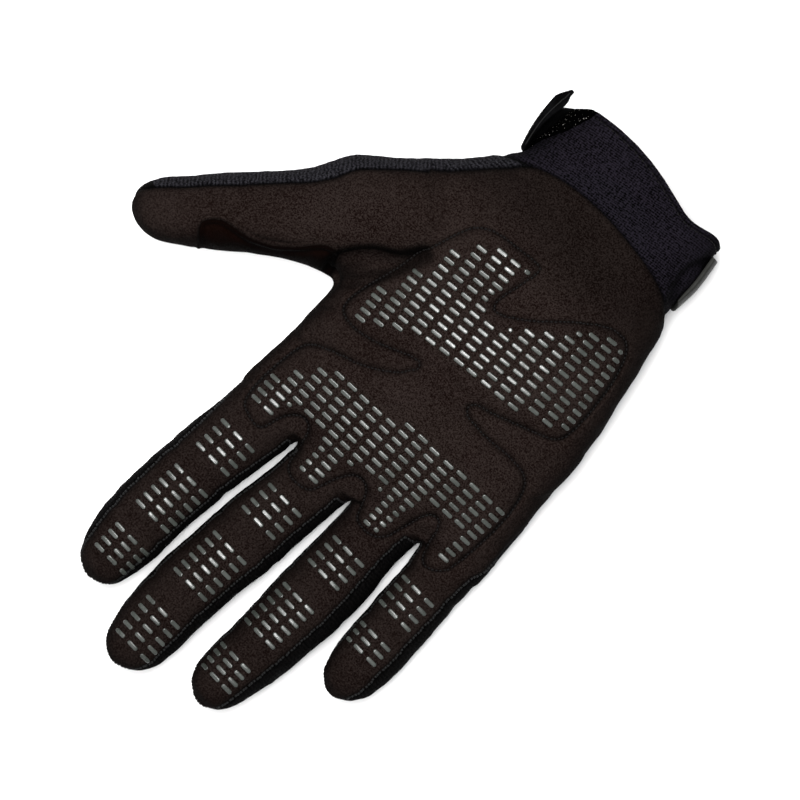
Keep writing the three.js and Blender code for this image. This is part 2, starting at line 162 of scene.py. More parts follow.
CUFF_EDGE = [
    (-60, -84), (-46, -88), (-35, -96.4), (-31, -101.2), (-27.6, -104), (-24.4, -104.3), (-20, -102.4),
    (-15, -101), (-9, -102), (0, -103.4), (9, -103.9), (18, -103.2), (24, -102.1), (27.6, -101.5),
    (30.2, -98.8), (32.6, -95.6), (36, -92), (60, -84),
]
CUFF_SEAM = [
    (-60, -70), (-36, -76.5), (-29, -80.4), (-19, -82.2), (-7, -82.9), (5, -82.5), (15, -80.8), (24, -78),
    (31, -74.4), (37, -71.5), (60, -62),
]
PADS = {
    "heel_pad": [
        (23.2, -4.1), (27.4, -3.3), (31.4, -3.9), (33.4, -6), (33.8, -9.5), (32.8, -17), (30.9, -24),
        (29.6, -31), (28.4, -39), (27, -46), (25.2, -51.4), (20.5, -55.2), (11.7, -57.2), (3, -59),
        (1.8, -57), (2.6, -50.5), (3.7, -42), (2.6, -39.4), (0, -39.6), (-4, -42.6), (-9, -47), (-15, -54),
        (-22, -60.8), (-27, -63.6), (-31.5, -64), (-35, -60.5), (-38.2, -52), (-40.6, -42), (-41.6, -33),
        (-41, -29.3), (-38.5, -26.5), (-31, -23), (-25, -20.1), (-17, -16.6), (-5, -14), (6.5, -11.9),
        (12.5, -8.7), (18, -5.7),
    ],
    "knuckle_pad": [
        (20, 33), (20.4, 37), (22.5, 38.4), (27, 37.8), (30.9, 36.4), (32.4, 30), (32.8, 20), (32.4, 11.6),
        (29.5, 8.4), (23.2, 5.1), (16.3, 2.4), (10.2, -1.8), (5.8, -5.8), (4.6, -8.8), (-6, -11),
        (-15.5, -12.4), (-26, -12.4), (-34, -14), (-41, -14.2), (-44.4, -12.4), (-46.6, -8.4), (-48, -3),
        (-49, 4), (-49.2, 12), (-49, 20), (-48.4, 23.4), (-45.5, 26.4), (-41.8, 27.4), (-39, 24),
        (-36.6, 14.6), (-31.8, 15.6), (-30.4, 22), (-29.2, 29.7), (-26.6, 33), (-22, 34.2), (-18, 33.4),
        (-15.4, 27), (-12.6, 24.4), (-8.3, 24.8), (-5.7, 29.7), (-4.4, 35), (-3.4, 38.4), (-0.6, 40),
        (4, 40.4), (7.4, 39), (9, 34), (10.4, 28), (12.6, 25.6), (15.6, 25.8), (18.2, 28.1),
    ],
    "crease_pad_little": [
        (-43.6, -31.8), (-49.6, -32.2), (-51.2, -16), (-48.6, -9.8), (-44.4, -12.6), (-41, -14.4),
        (-34, -14.2), (-26, -12.6), (-19.5, -12.5), (-16, -13.2), (-15, -14.9), (-17.2, -16.7), (-25, -20),
        (-31, -22.9), (-38.6, -26.5), (-41.2, -29.3),
    ],
    "crease_pad_thumb": [
        (3.6, -11.2), (5.8, -6.4), (10.5, -2.4), (16.6, 1.9), (23.5, 4.6), (29.8, 7.9), (32.9, 11),
        (36.6, 10.4), (36.6, -1), (31.8, -3.3), (27.4, -2.7), (22.9, -3.5), (17.6, -5.7), (12.2, -8.7),
        (6.4, -12.4),
    ],
}
BETWEEN_PADS = [
    (5.5, -6.6), (-4, -9), (-15.8, -10.8), (-17, -12.5), (-15.6, -13.3), (-15.1, -14.8), (-15.8, -16.3),
    (-17, -17.7), (-5, -16), (7, -13.6), (5.6, -13.1), (4.4, -12.1), (3.8, -10.7), (3.9, -9.4), (4.6, -8.2),
]
GUSSET = [
    (73.8, 18), (77.2, 14.2), (79.6, 12), (80.2, 9.9), (77.9, 6.3), (74.4, 4.5), (70.3, 3.6), (64.5, 1.3),
    (59.1, -2.5), (55, -7.2), (52.4, -11.3), (50, -13.9), (47.2, -14.9), (44.8, -14), (43, -11.2),
    (42, -7.8), (42, -3), (60, 8), (71, 20),
]
GUSSET_LOW = 9.0
FOLDS = [  # each fold's depth, half its width, and its line
    (3.0, 2.3, [
        (42.5, -6), (44.2, -11.4), (42.8, -16.6), (39.2, -22), (35.4, -24.8), (31.6, -27.6), (28.4, -33.8),
    ]),
    (1.3, 1.6, [(43, -5.5), (41, -7.7), (36.8, -11.7), (33.2, -17.8), (30.4, -24.4), (28.6, -31)]),
    (1.3, 1.5, [(-43, -70), (-37, -77), (-31.5, -81.5), (-28.3, -87), (-27.4, -93), (-29.5, -99)]),
]


def smooth_curve(xs, ys):
    """A monotone cubic through the rows, so that an outline has no corners at them."""
    steps = np.diff(xs)
    slopes = np.diff(ys) / steps
    tangents = np.zeros(len(xs))
    tangents[0], tangents[-1] = slopes[0], slopes[-1]
    for i in range(1, len(xs) - 1):
        if slopes[i - 1] * slopes[i] > 0:
            before = 2 * steps[i] + steps[i - 1]
            after = steps[i] + 2 * steps[i - 1]
            tangents[i] = (before + after) / (before / slopes[i - 1] + after / slopes[i])

    def at(x):
        x = np.clip(x, xs[0], xs[-1])
        k = np.clip(np.searchsorted(xs, x, side="right") - 1, 0, len(steps) - 1)
        t = (x - xs[k]) / steps[k]
        start = (1 + 2 * t) * (1 - t) ** 2 * ys[k] + t * (1 - t) ** 2 * steps[k] * tangents[k]
        return start + t * t * (3 - 2 * t) * ys[k + 1] + t * t * (t - 1) * steps[k] * tangents[k + 1]

    return at


class Limb:
    """A finger, the thumb or the hand tube: a row of superellipse sections along a line in plan."""

    def __init__(self, rows, origin=(0, 0), along=(0, 1), power=FINGER_POWER):
        values = np.array(rows, float)
        self.origin, self.along, self.power = origin, along, power
        self.first, self.last = values[0, 0], values[-1, 0]
        names = SECTION + ("skew",)
        self.curves = {names[i]: smooth_curve(values[:, 0], values[:, i]) for i in range(1, values.shape[1])}

    def coordinates(self, x, y):
        """The place along the limb and the distance across it, for points in plan."""
        dx, dy = x - self.origin[0], y - self.origin[1]
        at = dx * self.along[0] + dy * self.along[1]
        across = dx * self.along[1] - dy * self.along[0]
        if "skew" in self.curves:
            at = at + self.curves["skew"](at) * np.maximum(0, SKEW_FROM - across) / SKEW_OVER
        return at, across

    def sizes(self, at, grow=0.0):
        near, far, low, high = (self.curves[name](at) for name in ("near", "far", "low", "high"))
        return (near + far) / 2, (far - near) / 2 + grow, (low + high) / 2, (high - low) / 2 + grow

    def distance(self, x, y, z):
        """How far a point is outside the limb's skin, or less than nothing inside it."""
        at, across = self.coordinates(x, y)
        middle, half, level, rise = self.sizes(at)
        aside, up = across - middle, z - level
        gauge = (np.abs(aside / half) ** self.power + np.abs(up / rise) ** self.power) ** (1 / self.power)
        out = np.hypot(aside, up) * (1 - 1 / np.maximum(gauge, 0.05))
        out = np.maximum(out, -np.minimum(half, rise))
        past = np.maximum(np.maximum(self.first - at, at - self.last), 0)
        return np.where(past > 0, np.hypot(np.maximum(out, 0), past), out)

    def on_section(self, at, angle, grow=0.0):
        """A point on the skin, as a distance across and a height, at an angle in radians."""
        middle, half, level, rise = self.sizes(at, grow)
        bend = lambda value: np.sign(value) * np.abs(value) ** (2 / self.power)
        return middle + half * bend(np.cos(angle)), level + rise * bend(np.sin(angle))

    def above_seams(self, x, y, z, reach, angles=None):
        """Positive on the palm's side of the limb's two seams."""
        at, across = self.coordinates(x, y)
        near_angle, far_angle = angles or (self.curves["seam_near"](at), self.curves["seam_far"](at))
        near_x, near_z = self.on_section(at, math.pi - np.radians(near_angle))
        far_x, far_z = self.on_section(at, np.radians(far_angle))
        chord = near_z + (far_z - near_z) * (across - near_x) / np.maximum(far_x - near_x, 1)
        aside = np.minimum(far_x + reach - across, across - near_x + reach)
        lengthways = np.minimum(self.last + 3 - at, at - self.first)
        return np.minimum(np.minimum(z - chord, aside), lengthways)


FINGERS = {name: Limb(rows) for name, rows in FINGER_ROWS.items()}
THUMB = Limb(THUMB_ROWS, THUMB_ROOT, THUMB_ALONG)
HAND = Limb(HAND_ROWS, power=PALM_POWER)


def smooth_min(a, b, width):
    share = np.clip(0.5 + 0.5 * (b - a) / width, 0, 1)
    return b * (1 - share) + a * share - width * share * (1 - share)


def line_at(line, x):
    """The y of a line drawn in plan, with its corners rounded."""
    points = rounded(line, 3, closed=False)
    return np.interp(x, points[:, 0], points[:, 1])


def rounded(outline, times=2, closed=True):
    """Cuts the corners of an outline, so that it becomes a smooth curve."""
    points = np.array(outline, float)
    for _ in range(times):
        if closed:
            after = np.roll(points, -1, 0)
            points = np.stack([points * 0.75 + after * 0.25, points * 0.25 + after * 0.75], 1).reshape(-1, 2)
        else:
            a, b = points[:-1], points[1:]
            middle = np.stack([a * 0.75 + b * 0.25, a * 0.25 + b * 0.75], 1).reshape(-1, 2)
            points = np.vstack([points[:1], middle[1:-1], points[-1:]])
    return points


def distance_to_line(x, y, points, closed=True):
    """The distance in plan to a line of points, and whether each place is inside it."""
    best = np.full(x.shape, 1e9)
    inside = np.zeros(x.shape, bool)
    count = len(points) if closed else len(points) - 1
    for i in range(count):
        (ax, ay), (bx, by) = points[i], points[(i + 1) % len(points)]
        ux, uy = bx - ax, by - ay
        t = np.clip(((x - ax) * ux + (y - ay) * uy) / max(ux * ux + uy * uy, 1e-12), 0, 1)
        best = np.minimum(best, (x - ax - t * ux) ** 2 + (y - ay - t * uy) ** 2)
        if closed:
            crosses = (ay > y) != (by > y)
            rise = by - ay if abs(by - ay) > 1e-12 else 1e-12
            inside ^= crosses & (x < ax + (y - ay) / rise * ux)
    return np.sqrt(best), inside


def inside_outline(x, y, outline):
    """Positive inside an outline drawn in plan, as the distance to it."""
    away, inside = distance_to_line(x, y, outline)
    return np.where(inside, away, -away)


def glove_field():
    """The distance field of the filled-out glove on the grid."""
    counts = np.ceil((GRID_HIGH - GRID_LOW) / CELL).astype(int) + 1
    axes = [GRID_LOW[k] + CELL * np.arange(counts[k]) for k in range(3)]

    def sampled(limb, box, shift=0.0):
        """The field of one limb, worked out only in its box."""
        field = np.full(counts, FAR_AWAY, np.float32)
        (low_x, low_y), (high_x, high_y) = box
        limits = ((low_x + shift, high_x + shift), (low_y, high_y))
        ranges = [np.searchsorted(axis, limit) for axis, limit in zip(axes, limits)]
        part = tuple(slice(a, b) for a, b in ranges)
        x, y, z = np.meshgrid(axes[0][part[0]], axes[1][part[1]], axes[2], indexing="ij", sparse=True)
        field[part] = limb.distance(x, y, z)
        return field

    fingers = None
    for finger in FINGERS.values():
        one = sampled(finger, FINGER_BOX, finger.sizes(MIDWAY)[0])
        fingers = one if fingers is None else np.minimum(fingers, one)
    thumb = sampled(THUMB, THUMB_BOX)
    hand = sampled(HAND, HAND_BOX)
    whole = smooth_min(smooth_min(hand, thumb, THUMB_BLEND), fingers, FINGER_BLEND)
    return -smooth_min(-whole, axes[2][None, None, :], FLOOR_BLEND)


def surface_net(field, low, cell):
    """The skin where the field is zero, as points and four-sided faces."""
    inside = field < 0
    corner_steps = [(i, j, k) for i in (0, 1) for j in (0, 1) for k in (0, 1)]
    shape = tuple(n - 1 for n in field.shape)

    def corner(array, step):
        return array[tuple(slice(s, s + n) for s, n in zip(step, shape))]

    filled = sum(corner(inside, step).astype(np.int8) for step in corner_steps)
    mixed = (filled > 0) & (filled < 8)
    cells = np.argwhere(mixed)
    index = np.full(shape, -1, np.int64)
    index[mixed] = np.arange(len(cells))
    values = {step: corner(field, step)[mixed] for step in corner_steps}
    total = np.zeros((len(cells), 3))
    hits = np.zeros(len(cells))
    for a in corner_steps:
        for axis in range(3):
            if a[axis]:
                continue
            b = tuple(1 if k == axis else a[k] for k in range(3))
            crossed = (values[a] < 0) != (values[b] < 0)
            t = values[a][crossed] / (values[a][crossed] - values[b][crossed])
            point = np.tile(np.array(a, float), (crossed.sum(), 1))
            point[:, axis] = t
            total[crossed] += point
            hits[crossed] += 1
    points = low + cell * (cells + total / hits[:, None])
    quads = []
    for axis in range(3):
        first, second = [k for k in range(3) if k != axis]
        lower = tuple(slice(0, -1) if k == axis else slice(1, -1) for k in range(3))
        upper = tuple(slice(1, None) if k == axis else slice(1, -1) for k in range(3))
        for entering in (False, True):
            change = (inside[lower] != inside[upper]) & (inside[lower] == entering)
            at = np.argwhere(change)
            at[:, first] += 1
            at[:, second] += 1
            around = []
            for step_first, step_second in ((-1, -1), (0, -1), (0, 0), (-1, 0)):
                cell_at = at.copy()
                cell_at[:, first] += step_first
                cell_at[:, second] += step_second
                around.append(index[tuple(cell_at.T)])
            quad = np.stack(around, 1)
            flip = entering == (axis == 1)
            quads.append(quad[:, ::-1] if flip else quad)
    return points, np.vstack(quads)


def unit(vectors):
    return vectors / np.maximum(np.linalg.norm(vectors, axis=-1, keepdims=True), 1e-12)


def point_normals(points, triangles):
    a, b, c = (points[triangles[:, k]] for k in range(3))
    faces = np.cross(b - a, c - a)
    normals = np.zeros_like(points)
    for k in range(3):
        for axis in range(3):
            normals[:, axis] += np.bincount(triangles[:, k], faces[:, axis], len(points))
    return unit(normals)


def crossed_triangles(triangles, above):
    """Which triangles a line crosses, and their corners with the one that is alone on its side first.

    The last result says where that lone corner is above the line.
    """
    mixed = above[triangles].any(1) & ~above[triangles].all(1)
    corners = triangles[mixed]
    sides = above[corners]
    lone_above = sides.sum(1) == 1
    lone = np.where(lone_above[:, None], sides, ~sides).argmax(1)
    order = (lone[:, None] + np.arange(3)) % 3
    return mixed, np.take_along_axis(corners, order, 1).T, lone_above


def cut(skin, name):
    """Cuts a skin where the named value is zero, and returns the parts where it is above and below."""
    value = skin["values"][name]
    value = np.where(np.abs(value) < CUT_SNAP, CUT_SNAP, value)
    triangles = skin["triangles"]
    above = value > 0
    mixed, (p, q, r), lone_above = crossed_triangles(triangles, above)
    edges = np.vstack([triangles[mixed][:, [a, (a + 1) % 3]] for a in range(3)])
    edges = np.unique(np.sort(edges, 1), axis=0)
    edges = edges[above[edges[:, 0]] != above[edges[:, 1]]]
    t = value[edges[:, 0]] / (value[edges[:, 0]] - value[edges[:, 1]])

    def blend(data):
        start, end = data[edges[:, 0]], data[edges[:, 1]]
        return start + (end - start) * (t if data.ndim == 1 else t[:, None])

    count = len(skin["points"])
    points = np.vstack([skin["points"], blend(skin["points"])])
    normals = np.vstack([skin["normals"], unit(blend(skin["normals"]))])
    values = {key: np.concatenate([data, blend(data)]) for key, data in skin["values"].items()}
    keys = edges[:, 0] * count + edges[:, 1]

    def new_point(start, end):
        low, high = np.minimum(start, end), np.maximum(start, end)
        return count + np.searchsorted(keys, low * count + high)

    pq, pr = new_point(p, q), new_point(p, r)
    tip = np.stack([p, pq, pr], 1)
    rest = np.concatenate([np.stack([pq, q, r], 1), np.stack([pq, r, pr], 1)])
    twice = np.tile(lone_above, 2)
    whole = triangles[~mixed]
    whole_above = above[whole].all(1)
    parts = []
    for side in (True, False):
        chosen = np.vstack([whole[whole_above == side], tip[lone_above == side], rest[twice != side]])
        parts.append(compact({"points": points, "normals": normals, "values": values, "triangles": chosen}))
    return parts


def compact(skin):
    used, triangles = np.unique(skin["triangles"], return_inverse=True)
    return {
        "points": skin["points"][used],
        "normals": skin["normals"][used],
        "values": {key: data[used] for key, data in skin["values"].items()},
        "triangles": triangles.reshape(-1, 3),
    }


def island_labels(count, triangles):
    """One number for each connected part of a mesh."""
    labels = np.arange(count)
    pairs = np.vstack([triangles[:, [0, 1]], triangles[:, [1, 2]]])
    while True:
        low = np.minimum(labels[pairs[:, 0]], labels[pairs[:, 1]])
        new = labels.copy()
        np.minimum.at(new, pairs[:, 0], low)
        np.minimum.at(new, pairs[:, 1], low)
        new = new[new]
        if (new == labels).all():
            return labels
        labels = new


def main_islands(skin, least=0.002):
    """Drops the shavings that a cut leaves."""
    labels = island_labels(len(skin["points"]), skin["triangles"])
    of_triangle = labels[skin["triangles"][:, 0]]
    names, counts = np.unique(of_triangle, return_counts=True)
    kept = names[counts > least * counts.sum()]
    return compact({**skin, "triangles": skin["triangles"][np.isin(of_triangle, kept)]})


def border(triangles):
    """The edges that only one triangle has, in that triangle's direction."""
    edges = np.vstack([triangles[:, [a, (a + 1) % 3]] for a in range(3)])
    base = edges.max() + 1
    keys = edges[:, 0] * base + edges[:, 1]
    return edges[~np.isin(keys, edges[:, 1] * base + edges[:, 0])]


def chained(edges):
    """Joins directed edges into lines of point numbers."""
    after = {}
    for a, b in edges.tolist():
        after.setdefault(a, []).append(b)
    arrivals = {b for _, b in edges.tolist()}
    lines = []
    starts = [a for a in after if a not in arrivals] + list(after)
    for start in starts:
        line = [start]
        while after.get(line[-1]):
            line.append(after[line[-1]].pop())
        if len(line) > 1:
            lines.append(line)
    return lines


def level_lines(skin, name, level):
    """The lines on a skin where a value has a level, each as points and normals."""
    value = skin["values"][name] - level
    value = np.where(np.abs(value) < 1e-6, 1e-6, value)
    _, (p, q, r), lone_above = crossed_triangles(skin["triangles"], value > 0)
    count = len(value)
    key = lambda a, b: np.minimum(a, b) * count + np.maximum(a, b)
    ends = np.stack([key(p, q), key(p, r)], 1)
    ends = np.where(lone_above[:, None], ends, ends[:, ::-1])
    names, numbers = np.unique(ends, return_inverse=True)
    a, b = names // count, names % count
    t = (value[a] / (value[a] - value[b]))[:, None]
    points = skin["points"][a] * (1 - t) + skin["points"][b] * t
    normals = unit(skin["normals"][a] * (1 - t) + skin["normals"][b] * t)
    lines = chained(numbers.reshape(-1, 2))
    return [(points[line], normals[line]) for line in lines if len(line) > LEAST_LINE]


def resampled(points, normals, step):
    """Places at even steps along a line, each with its direction and normal."""
    lengths = np.concatenate([[0], np.cumsum(np.linalg.norm(np.diff(points, axis=0), axis=1))])
    places = np.arange(step / 2, lengths[-1], step)
    at = lambda data, where: np.stack([np.interp(where, lengths, data[:, k]) for k in range(3)], 1)
    ahead = at(points, np.minimum(places + 0.5, lengths[-1])) - at(points, np.maximum(places - 0.5, 0))
    return at(points, places), unit(ahead), unit(at(normals, places))


def waves(x, y, z, size, seed):
    """A gentle uneven swell made of waves in fixed random directions."""
    random = np.random.default_rng(seed)
    total = np.zeros(x.shape)
    for _ in range(WAVE_COUNT):
        direction = unit(random.normal(size=3))
        length = size * random.uniform(0.7, 1.7)
        phase = random.uniform(0, 2 * math.pi)
        along = x * direction[0] + y * direction[1] + z * direction[2]
        total += np.sin(2 * math.pi * along / length + phase)
    return total * 2 / WAVE_COUNT


def smooth_step(value, low, high):
    t = np.clip((value - low) / (high - low), 0, 1)
    return t * t * (3 - 2 * t)


def dent(distance, depth, width):
    return -depth * np.exp(-((distance / width) ** 2))


def to_frame(points):
    return (np.asarray(points) - PATTERN_CENTRE) / 1000


def make_object(name, points, faces, values=None, normals=None):
    """A mesh object from points in the pattern's millimetres."""
    mesh = bpy.data.meshes.new(name)
    mesh.from_pydata(to_frame(points).tolist(), [], faces.tolist() if hasattr(faces, "tolist") else faces)
    for key, data in (values or {}).items():
        attribute = mesh.attributes.new(key, "FLOAT", "POINT")
        attribute.data.foreach_set("value", np.asarray(data, np.float32))
    mesh.polygons.foreach_set("use_smooth", [True] * len(mesh.polygons))
    mesh.update()
    if normals is not None:
        mesh.normals_split_custom_set_from_vertices(normals.tolist())
    made = bpy.data.objects.new(name, mesh)
    bpy.context.scene.collection.objects.link(made)
    return made


def thickened(name, skin, wall, keep_values):
    """Closes a skin into a wall, with a second skin inside it and a rim round each edge."""
    points, triangles = skin["points"], skin["triangles"]
    count = len(points)
    both = np.vstack([points, points - skin["normals"] * wall])
    start, end = border(triangles).T
    faces = [triangles, triangles[:, ::-1] + count]
    faces.append(np.stack([end, start, start + count], 1))
    faces.append(np.stack([end, start + count, end + count], 1))
    values = {key: np.tile(skin["values"][key], 2) for key in keep_values}
    lit = unit(np.stack([skin["values"][key] for key in SHADING], 1))
    return make_object(name, both, np.vstack(faces), values, np.vstack([lit, -lit]))


def as_drawn(x, y, z):
    """Where a point of the skin is in the outlines, which are drawn as seen from VIEW_HEIGHT above."""
    nearer = VIEW_HEIGHT / (VIEW_HEIGHT - (z - VIEW_LEVEL))
    return x * nearer, y * nearer


def add_skin_values(skin):
    """The values that the skin is cut along and that its finish follows, in millimetres."""
    x, y, z = skin["points"].T
    drawn = as_drawn(x, y, z)
    values = skin["values"]
    values["mouth"] = y - line_at(CUFF_EDGE, x)
    values["cuff"] = line_at(CUFF_SEAM, x) - y
    limbs = [*FINGERS.values(), THUMB, HAND]
    reaches = [FINGER_REACH] * len(FINGERS) + [HAND_REACH] * 2
    values["palm"] = np.max([limb.above_seams(x, y, z, r) for limb, r in zip(limbs, reaches)], axis=0)
    values["thumb_gusset"] = np.minimum(inside_outline(*drawn, rounded(GUSSET)), z - GUSSET_LOW)
    for name, (near, far, first) in STRIPS.items():
        values[name] = strip_value(x, y, z, FINGERS[near], FINGERS[far], first)
    top = smooth_step(skin["normals"][:, 2], -0.25, 0.25)
    pads = {name: inside_outline(*drawn, rounded(outline)) for name, outline in PADS.items()}
    between = inside_outline(*drawn, rounded(BETWEEN_PADS))
    quilt = -smooth_min(-np.maximum(pads["heel_pad"], pads["knuckle_pad"]), -between, QUILT_BLEND)
    for name, value in {**pads, "quilt": quilt}.items():
        if name.startswith("crease"):
            value = np.minimum(value + TONGUE_OVERLAP, -quilt)
        values[name] = np.where(top > 0.02, value, OUTSIDE)
    distances = np.stack([limb.distance(x, y, z) for limb in limbs])
    along = np.stack([limb.coordinates(x, y)[0] for limb in limbs])
    values["rib"] = np.take_along_axis(along, distances.argmin(0)[None], 0)[0]
    # seam is the distance to the nearest seam, which the finishes use to paint shade into the seams' grooves.
    seams = [values[name] for name in ("quilt", "thumb_gusset", "palm", "cuff")]
    values["seam"] = np.clip(np.min(np.abs(seams), axis=0), 0, 6)
    return top


def strip_value(x, y, z, near, far, first):
    """Positive on the side strip between two fingers."""
    rows = np.linspace(first, max(near.last, far.last) + 3, 40)
    near_middle, far_middle = near.sizes(rows)[0], far.sizes(rows)[0]
    aside = np.minimum(x - np.interp(y, rows, near_middle), np.interp(y, rows, far_middle) - x)
    angles = (BACK_SEAM_ANGLE, BACK_SEAM_ANGLE)
    above = np.maximum(*(limb.above_seams(x, y, z, HAND_REACH, angles) for limb in (near, far)))
    return np.minimum(np.minimum(aside, above), y - first)


def relief(skin, top):
    """How far each point of the skin stands above the filled-out form, in millimetres."""
    x, y, z = skin["points"].T
    values = skin["values"]
    rise = np.zeros(len(x))
    for name, height in PUFFS.items():
        rise += top * height * (1 - np.exp(-np.maximum(values[name], 0) / PUFF_EDGE))
    for name, beside, depth, width in GROOVES:
        rise += top * dent(values[name] - beside, depth, width)
    rise += dent(values["palm"], *PALM_GROOVE) * (values["cuff"] < 0.5)
    rise += dent(values["cuff"], *CUFF_GROOVE)
    # fold is painted shade: it darkens the suede and the cuff in the hollow of each fold.
    values["fold"] = np.zeros(len(x))
    for depth, width, line in FOLDS:
        away, _ = distance_to_line(*as_drawn(x, y, z), rounded(line, 3, closed=False), closed=False)
        rise += top * dent(away, depth, width)
        values["fold"] = np.maximum(values["fold"], top * dent(away, -min(depth / 2, 1), width))
    for name, places in FINGER_CREASES.items():
        middle, half, _, _ = FINGERS[name].sizes(y)
        near = smooth_step(half + 1.5 - np.abs(x - middle), 0, 1.5)
        for place in places:
            rise += top * near * dent(y - place - CREASE_BOW * np.sin((x - middle) / 5), *CREASE)
    swell = sum(height * waves(x, y, z, size, seed) for height, size, seed in SWELLS)
    rise += swell * np.where(z > 1.0, 1, z)
    rise += FINGER_SWELL * smooth_step(y, 25, 95) * smooth_step(z, 0.5, 4)
    hem = y - line_at(CUFF_EDGE, x)
    on_cuff = values["cuff"] > 0
    rise += (dent(hem - HEM_WIDTH, *HEM_GROOVE) + dent(hem - HEM_WIDTH / 2, *HEM_RIDGE)) * on_cuff
    on_palm = smooth_step(values["palm"], -0.4, 0.4) * (values["cuff"] < 0)
    knit = (1 - on_palm) * (values["cuff"] < 0) * smooth_step(z, 0.2, 1.5)
    height, size, seed = KNIT_BUMPS
    return rise + height * waves(x, y, z, size, seed) * knit


def smoothed(data, triangles, times):
    """A value for each point, averaged with its neighbours."""
    pairs = np.vstack([triangles[:, [0, 1]], triangles[:, [1, 2]], triangles[:, [2, 0]]])
    counts = np.bincount(pairs[:, 0], minlength=len(data))[:, None]
    for _ in range(times):
        total = np.stack([np.bincount(pairs[:, 0], data[pairs[:, 1], k], len(data)) for k in range(3)], 1)
        data = 0.5 * data + 0.5 * total / counts
    return data


# Each side strip: the finger on the little finger's side, the one on the thumb's side, and its lowest y
STRIPS = {
    "side_strip_index_middle": ("middle", "index", 20),
    "side_strip_middle_ring": ("ring", "middle", 20),
    "side_strip_ring_little": ("little", "ring", 9),
}
SHADING = ("shade_x", "shade_y", "shade_z")  # the finished skin's normal, kept through the cuts
FINISH_VALUES = ("rib", "seam", "mouth", "fold", "cuff", "worn")
FINGER_REACH = 1.6  # how far past their seams the palm's cut takes in a finger, and the thumb and the hand
HAND_REACH = 5.0
QUILT_BLEND = 1.2  # how widely the two quilted pads run into the bridge between them
TONGUE_OVERLAP = 0.8  # how far the plain tongues reach past their outlines
OUTSIDE = -9.0  # a pad's value where the skin faces down
PUFFS = {"quilt": 1.35, "crease_pad_little": 1.15, "crease_pad_thumb": 1.15}
PUFF_EDGE = 1.7  # how far inside its edge a pad has two thirds of its height
# Each groove on top: its seam, its place beside the seam, its depth (under 0 for a ridge) and half its width
GROOVES = [
    ("quilt", 0.0, 0.5, 0.65),
    ("thumb_gusset", -0.75, 0.4, 0.6),
    ("thumb_gusset", 0.45, -0.6, 0.65),
    ("thumb_gusset", 1.9, 0.35, 0.7),
]
PALM_GROOVE = (0.45, 0.7)  # the same two sizes of the grooves and of a crease that go further round
CUFF_GROOVE = (0.6, 0.9)
HEM_WIDTH = 1.4
HEM_GROOVE = (0.22, 0.35)
HEM_RIDGE = (-0.2, 0.6)
SWELLS = [(0.35, 18, 1), (0.12, 6, 2)]  # height, size and seed
KNIT_BUMPS = (0.05, 2.4, 3)
FINGER_SWELL = 0.5  # how much fuller the fingers get towards their tips
FINGER_CREASES = {"index": (84.5, 60), "middle": (90.5, 62.5), "ring": (83.5, 57.2), "little": (48, 29.5)}
CREASE = (0.5, 1.5)
CREASE_BOW = 0.9  # how far a crease bows along its finger
UNSHADED_FACING_FROM_TO = (0.45, 1.0)  # the upward part of the normal from which the painted shade of the suede and the cuff lessens, until it is gone where they face straight up
HEEL_SHADE = 0.62  # how much more painted shade the palm's heel and the fingers get than its middle, and from where
HEEL_FROM_TO = (48, 70)
FINGER_SHADE = 0.3
FINGERS_FROM_TO = (10, 45)
KNUCKLE_SEAM = 14.0  # where the fingers' knit meets the hand's, on the back
RIB_PITCH = 1.2
# The fingertips' suede ends in a crease of each finger: a finger's least x, and its crease's y
TIP_CUTS = [(11.5, 60.0), (-14.4, 62.5), (-40.8, 57.2), (-70.0, 48.0)]

points, quads = surface_net(glove_field(), GRID_LOW, CELL)
across = np.linalg.norm(points[quads[:, 0]] - points[quads[:, 2]], axis=1)
other = np.linalg.norm(points[quads[:, 1]] - points[quads[:, 3]], axis=1)
turned = np.where((across <= other)[:, None], quads, np.roll(quads, -1, 1))
triangles = np.vstack([turned[:, [0, 1, 2]], turned[:, [0, 2, 3]]])
points = smoothed(points, triangles, 2)
normals = unit(smoothed(point_normals(points, triangles), triangles, 3))
skin = {"points": points, "triangles": triangles, "normals": normals, "values": {}}
top = add_skin_values(skin)
skin["points"] = points + normals * relief(skin, top)[:, None]
skin["points"][:, 2] = np.maximum(skin["points"][:, 2], 0)
finished = point_normals(skin["points"], triangles)
skin["values"].update(zip(SHADING, finished.T))
# Painted shade: the suede and the cuff are painted darker where they face less upwards, and on the palm's
# heel and the fingers, as if less lit there.
facing = smoothed(finished, triangles, 2)[:, 2]
seen_y = skin["points"][:, 1]
unshaded_share = 1 - HEEL_SHADE * smooth_step(-seen_y, *HEEL_FROM_TO)
unshaded_share -= FINGER_SHADE * smooth_step(seen_y, *FINGERS_FROM_TO)
skin["values"]["worn"] = unshaded_share * smooth_step(facing, *UNSHADED_FACING_FROM_TO)
skin = main_islands(skin, 0.02)

glove, _ = cut(skin, "mouth")
cuff_skin, body_skin = cut(glove, "cuff")
gusset_skin, body_skin = cut(body_skin, "thumb_gusset")
whole_palm, rest_skin = cut(body_skin, "palm")
skins = {"cuff": cuff_skin, "thumb_gusset": gusset_skin}
for name in STRIPS:
    skins[name], rest_skin = cut(rest_skin, name)
rest_skin["values"]["knuckle_line"] = rest_skin["points"][:, 1] - KNUCKLE_SEAM
skins["back_fingers"], skins["back_hand"] = cut(rest_skin, "knuckle_line")
edge_skin = whole_palm
for name in PADS:
    skins[name], edge_skin = cut(edge_skin, name)
edge_x, edge_y = edge_skin["points"][:, 0], edge_skin["points"][:, 1]
starts, places = zip(*TIP_CUTS)
creases = np.select([edge_x > start for start in starts], list(places), places[-1])
edge_skin["values"]["tips"] = edge_y - creases
skins["palm_tips"], skins["palm_panel"] = cut(edge_skin, "tips")
skins = {name: main_islands(part) for name, part in skins.items()}
tree = BVHTree.FromPolygons(skin["points"].tolist(), skin["triangles"].tolist())


